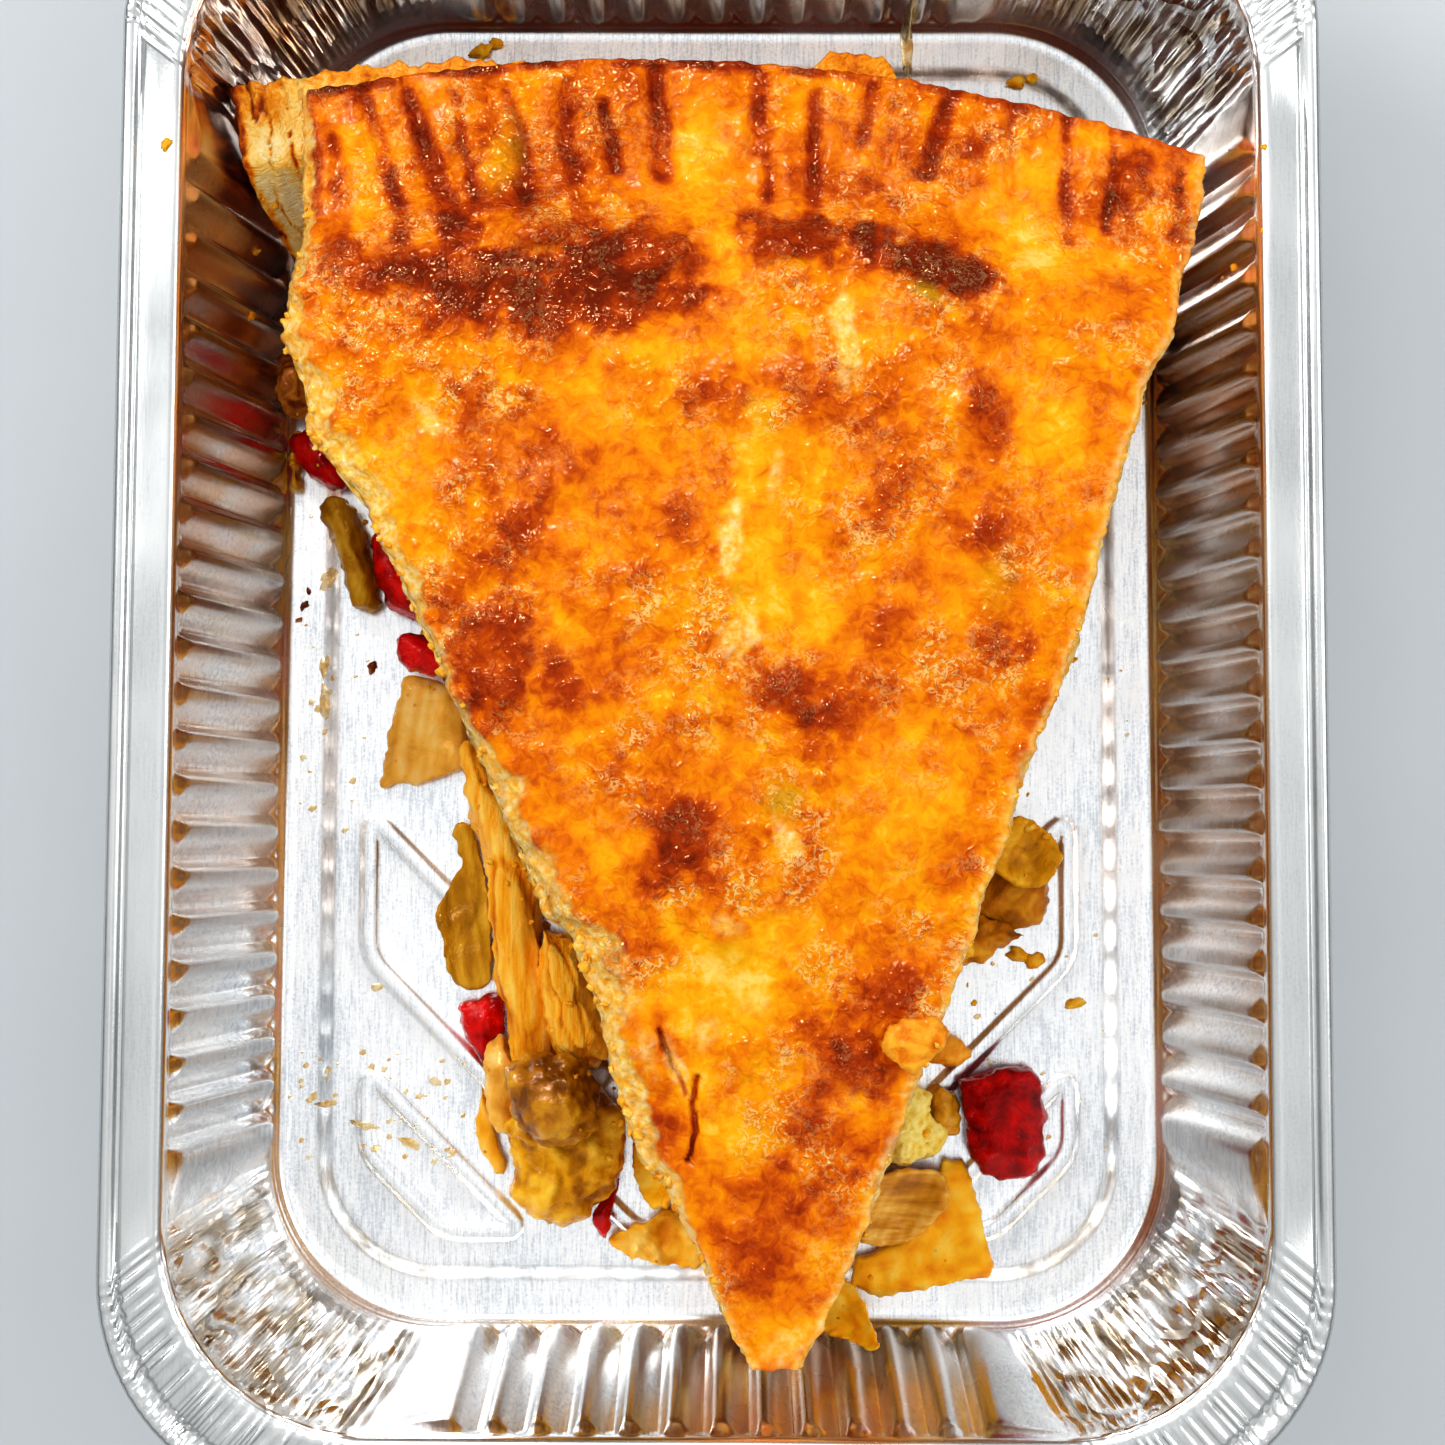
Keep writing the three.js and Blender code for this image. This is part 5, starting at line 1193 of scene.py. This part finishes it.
# Every loose piece: its solid, material, surface and the direction its fibres or veins run in.
LOOSE = [
    ("crust_shard", "dark_flake", crusty, 0), ("red_pepper_a", "red_pepper", plain, 0),
    ("vegetable_scrap", "mustard", lumps, 0), ("green_vegetable", "green_vegetable", veins, -65),
    ("red_pepper_b", "red_pepper", plain, 0), ("onion_slab_a", "onion_tan", veins, 80),
    ("red_pepper_c", "red_pepper", plain, 0), ("chicken_strip", "chicken", fibres, -72),
    ("chicken_chunk", "chicken", fibres, -72), ("vegetable_leaf", "green_vegetable", veins, -80),
    ("red_pepper_d", "red_pepper", plain, 0), ("onion_slab_b", "onion_tan", plain, 80),
    ("onion_shred", "onion", veins, -70), ("vegetable_chunk_top", "brown_vegetable", lumps, 0),
    ("vegetable_chunk", "mustard", lumps, 0), ("pepper_sliver", "red_pepper", plain, 0),
    ("onion_skin", "onion_gold", veins, 20), ("onion_piece", "onion", lumps, 0),
    ("onion_heap_upper", "mustard", veins, 60), ("onion_heap_middle", "onion_dark", veins, 50),
    ("onion_heap_lower", "onion_dark", lumps, 40), ("crust_fragment", "crust_flake", crusty, 0),
    ("red_pepper_e", "dark_pepper", plain, 0), ("vegetable_bit", "brown_vegetable", lumps, 0),
    ("cauliflower", "cauliflower", grains, 0), ("onion_petal_a", "onion_brown", veins, 60),
    ("onion_slab_c", "onion_gold", plain, 20), ("onion_petal_b", "onion_gold", veins, 130),
    ("crust_flake", "crust_flake", crusty, 0)]

for node, material, surface, direction in LOOSE:
    points, normals, quads = remeshed(node)
    lift, mark = surface(points, direction)
    lift = lift + torn(points, normals)
    mesh = make_mesh(node + "_food", points + normals * lift[:, None], [quads], {"mark": mark})
    add_object(node + "_food", mesh, MATERIALS[material], FOODS[material][0], node)


# ---------------------------------------------------------------- crumbs, flakes and sauce

RAY_FROM = 200
SUNK = 0.3


def ground(x, y, only=None):
    """The height of the topmost surface at a place, or None if there is none or it isn't the wanted one."""
    ready = bpy.context.evaluated_depsgraph_get()
    start = (x * MM, y * MM, RAY_FROM * MM)
    hit, where, _, _, what, _ = bpy.context.scene.ray_cast(ready, start, (0, 0, -1))
    return where[2] / MM if hit and only in (None, what.name) else None


def ball():
    """The points and faces of a fine round mesh, one unit in radius."""
    mesh = bmesh.new()
    bmesh.ops.create_icosphere(mesh, subdivisions=2, radius=1.0)
    points = np.array([v.co for v in mesh.verts])
    faces = np.array([[v.index for v in face.verts] for face in mesh.faces])
    mesh.free()
    return points, faces


def crumbs(name, places, material, seed):
    """Broken crumbs that lie on what is under them: places are x, y, length, width, height and turn."""
    unit, faces = ball()
    rng = np.random.default_rng(seed)
    all_points, all_faces, marks = [], [], []
    for x, y, length, width, height, turn in places:
        z = ground(x, y)
        shift = rng.random(3) * 50
        if z is None:
            continue
        rough = 1 + 0.6 * FINE(unit * 1.1 + shift) + 0.5 * GRAIN(unit * 2.6 + shift)
        points = turned(unit * rough[:, None] * [length / 2, width / 2, height / 2], -turn)
        all_faces.append(faces + len(unit) * len(all_points))
        all_points.append(points + [x, y, z + SUNK * height])
        marks.append(0.5 + 0.5 * FINE(unit * 1.7 + shift) + 0.3 * (rng.random() - 0.5))
    mesh = make_mesh(name, np.concatenate(all_points), all_faces, {"mark": np.concatenate(marks)})
    add_object(name, mesh, MATERIALS[material], FOODS[material][0])


def beside_cut(cut, rng, count, near, far, size):
    """Random small crumbs along a cut, between two distances outside it (or inside, below 0)."""
    y = rng.uniform(-90, 66, count)
    x = np.interp(y, *cut.T) + rng.uniform(near, far, count)
    length = rng.uniform(size[0], size[1], count)
    return [(a, b, c, c * rng.uniform(0.5, 1), c * rng.uniform(0.35, 0.7), rng.uniform(0, 180))
            for a, b, c in zip(x, y, length)]


FILM_RINGS = np.array([0.3, 0.55, 0.78, 0.92, 1.0])
SPOKES = 22


def films(name, places, material, slot, seed):
    """Thin drops and smears on the foil: places are x, y, length, width, thickness and turn."""
    rng = np.random.default_rng(seed)
    k = np.arange(SPOKES)
    after = (k + 1) % SPOKES
    angles = k / SPOKES * 2 * math.pi
    circle = joined(np.cos(angles), np.sin(angles), 0)
    shape = np.append(1.0, np.repeat(1 - FILM_RINGS ** 2.5, SPOKES))
    # Each drop has its middle, then its rings from the inside, then one point below the middle.
    count = len(shape)
    last = count - SPOKES
    faces = [joined(0, 1 + k, 1 + after), loop_faces(len(FILM_RINGS), SPOKES)[:, ::-1] + 1,
             joined(count, last + after, last + k)]
    all_points, all_faces = [], []
    for x, y, length, width, thick, turn in places:
        shift = rng.random(3) * 50
        reach = 1 + 0.4 * FINE(circle * 1.2 + shift) + 0.25 * GRAIN(circle * 2.4 + shift)
        outline = turned(circle * reach[:, None] * [length / 2, width / 2, 0], -turn)[:, :2]
        flat = np.concatenate([[[x, y]], *(outline * ring + [x, y] for ring in FILM_RINGS)])
        heights = [ground(*p, only="tray_shell") for p in flat]
        if None in heights:
            continue
        all_faces += [part + len(all_points) * (count + 1) for part in faces]
        top = np.column_stack([flat, np.array(heights) + thick * shape - 0.02])
        all_points.append(np.concatenate([top, [[x, y, heights[0] - 0.2]]]))
    add_object(name, make_mesh(name, np.concatenate(all_points), all_faces), material, slot)


def sauce_material():
    look = Shader("sauce", metallic=0.6, specular_ior_level=0.4, coat_weight=0.2, coat_roughness=0.06)
    patchy = look.noise(1.6, 3, 0.6)
    tone = look.ramp(patchy, (0.3, srgb(212, 160, 74)), (0.5, srgb(230, 204, 150)),
                     (0.7, srgb(234, 224, 196)))
    look.set(base_color=tone, roughness=look.remap(patchy, 0.3, 0.7, 0.12, 0.4))
    look.set(normal=look.bump(look.noise(0.8, 2, 0.5), 0.06, 0.8))
    return look.material


# Crumbs beside the pieces that the photo shows lie where it shows them; the others are strewn at random.
rng = np.random.default_rng(77)
crumbs("big_crumbs", [
    (43, -41.8, 3.4, 2, 1.3, -12), (45.2, -42.6, 2.6, 2.2, 1.1, 20), (51.2, -48.7, 3.2, 1.5, 0.8, 15),
    (43.4, 85.6, 3, 2, 1.4, 10), (45.6, 86.4, 2, 1.6, 1, 50), (-35.4, 90.4, 3.4, 2.2, 1.8, 30),
    (-33.6, 91.6, 2, 1.4, 1.2, 0), (-65.9, 57.3, 1.4, 1, 0.6, 30), (-72.4, 64.9, 1.8, 1.1, 0.7, 70),
    (43.6, -23.6, 2.2, 1.2, 0.9, 40), (46.2, -25, 1.4, 1, 0.7, 0), (34.2, -40.8, 3.2, 2.2, 1.2, -30),
    (31.6, -43.2, 2.6, 2, 1, 10)], "gold_crumb", 31)
crumbs("loose_crumbs", beside_cut(LEFT_CUT, rng, 46, -9, -1.5, (0.5, 1.3))
       + beside_cut(RIGHT_CUT, rng, 34, 1.0, 8, (0.4, 1.2)), "gold_crumb", 32)
crumbs("edge_crumbs", beside_cut(LEFT_CUT, rng, 90, -1.2, 1.2, (0.5, 1.7))
       + beside_cut(RIGHT_CUT, rng, 30, -0.5, 1.0, (0.4, 1.1)), "pastry_crumb", 33)
crumbs("dark_crumbs", [
    (-60.4, 8.2, 1.6, 0.9, 0.6, 60), (-61.2, 6, 1.2, 0.6, 0.5, 20), (-59.8, 10.2, 1, 0.6, 0.4, 100),
    (-50.3, -1, 1.9, 1.2, 0.7, 70)], "dark_flake", 34)
# Fields of small specks, as (count, and the ranges of x, y and size).
SPECKS = ((44, (-62, -36), (-72, -56), (0.4, 1.5)), (28, (-61, -50), (-30, 24), (0.4, 1.6)),
          (28, (30, 60), (-72, 0), (0.3, 1.2)))
specks = [[rng.uniform(*span) for span in spans] for count, *spans in SPECKS for _ in range(count)]
films("sauce_marks", [(x, y, c, c * 0.75, 0.07, 40 * c) for x, y, c in specks] + [
    (-57.4, -0.6, 3.4, 1.6, 0.15, 80), (-57.2, -6, 5, 1.8, 0.15, 95), (-48.9, -46.8, 2, 1.3, 0.1, 20),
    (-55.8, -63.4, 3.6, 1.2, 0.09, 10), (-50.4, -66.4, 4.4, 1.4, 0.09, -10),
    (-44, -68.8, 3.8, 1.5, 0.09, -20), (-57, 12, 4, 2.2, 0.14, 60), (43.6, -29.6, 2.6, 1.4, 0.16, 30),
    (27.4, 90.6, 9, 1.8, 0.22, 92), (-40.4, -60.2, 2.2, 1.2, 0.08, -30), (31, -78, 6, 3, 0.2, 20)],
      sauce_material(), "glazed_crust", 35)


# ---------------------------------------------------------------- stage, light and camera

STAGE_HALF = 900
AIM = (0, 0, 20)


def stage_floor():
    corners = np.array([(-1, -1, 0), (1, -1, 0), (1, 1, 0), (-1, 1, 0)]) * STAGE_HALF
    look = Shader("stage", roughness=0.9)
    soft = look.noise(60, 2)
    look.set(base_color=look.ramp(soft, (0.3, srgb(200, 205, 208)), (0.7, srgb(204, 209, 212))))
    mesh = make_mesh("stage_floor", corners, [[[0, 1, 2, 3]]])
    mesh.materials.append(look.material)
    floor = bpy.data.objects.new("stage_floor", mesh)
    bpy.context.scene.collection.objects.link(floor)


# How bright the sky is, from the horizon (0) to straight overhead (1).
SKY_LEVELS = ((0, 0.10), (0.2, 0.24), (0.5, 0.50), (0.8, 0.64), (0.93, 0.66), (0.965, 0.62), (0.985, 0.84),
              (1, 0.94))
SKY_STRENGTH = 1.15


def sky():
    """Soft white light that is brightest overhead."""
    world = bpy.data.worlds.new("sky")
    world.use_nodes = True
    tree = world.node_tree
    background = next(n for n in tree.nodes if n.type == "BACKGROUND")
    where = tree.nodes.new("ShaderNodeTexCoord")
    split = tree.nodes.new("ShaderNodeSeparateXYZ")
    ramp = tree.nodes.new("ShaderNodeValToRGB")
    tree.links.new(where.outputs["Generated"], split.inputs[0])
    tree.links.new(split.outputs["Z"], ramp.inputs[0])
    tree.links.new(ramp.outputs[0], background.inputs["Color"])
    fill_band(ramp.color_ramp, [(place, (level, level, level * 1.01, 1)) for place, level in SKY_LEVELS])
    background.inputs["Strength"].default_value = SKY_STRENGTH
    bpy.context.scene.world = world


def lamp(name, place, size, power, glossy_only=False):
    """A round lamp that points at the food. One that is glossy_only shows in reflections alone."""
    light = bpy.data.lights.new(name, "AREA")
    light.shape = "DISK"
    light.size = size * MM
    light.energy = power
    lamp_object = bpy.data.objects.new(name, light)
    bpy.context.scene.collection.objects.link(lamp_object)
    away = np.array(place, float) - AIM
    away /= np.linalg.norm(away)
    side = np.cross([0, 1, 0.001], away)
    side /= np.linalg.norm(side)
    up = np.cross(away, side)
    matrix = Matrix(np.column_stack([side, up, away]).tolist()).to_4x4()
    matrix.translation = [c * MM for c in place]
    lamp_object.matrix_world = matrix
    lamp_object.visible_diffuse = not glossy_only


CAMERA_PLACE = (1.70, -24.86, 352.93)
CAMERA_TURNS = (0.0729, 0.0034, 0.0035)
CAMERA_LENS, CAMERA_SENSOR = 60.67, 36
CAMERA_SHIFT = -0.0454


def camera():
    """The camera that was fitted to the tray in the photo."""
    data = bpy.data.cameras.new("camera")
    data.lens = CAMERA_LENS
    data.sensor_width = CAMERA_SENSOR
    data.shift_y = CAMERA_SHIFT
    data.clip_start = 0.01
    data.clip_end = 20
    view = bpy.data.objects.new("camera", data)
    bpy.context.scene.collection.objects.link(view)
    pitch, roll, yaw = CAMERA_TURNS
    turn = Matrix.Rotation(yaw, 4, "Z") @ Matrix.Rotation(pitch, 4, "X") @ Matrix.Rotation(roll, 4, "Y")
    view.matrix_world = Matrix.Translation([c * MM for c in CAMERA_PLACE]) @ turn
    bpy.context.scene.camera = view


stage_floor()
sky()
lamp("key", (-360, 250, 420), 260, 1.2)
lamp("fill", (420, 80, 400), 260, 0.75)
lamp("window", (-110, 400, 480), 130, 4.0, glossy_only=True)
camera()
bpy.context.scene.view_settings.view_transform = "Standard"
bpy.context.scene.view_settings.look = "Medium High Contrast"
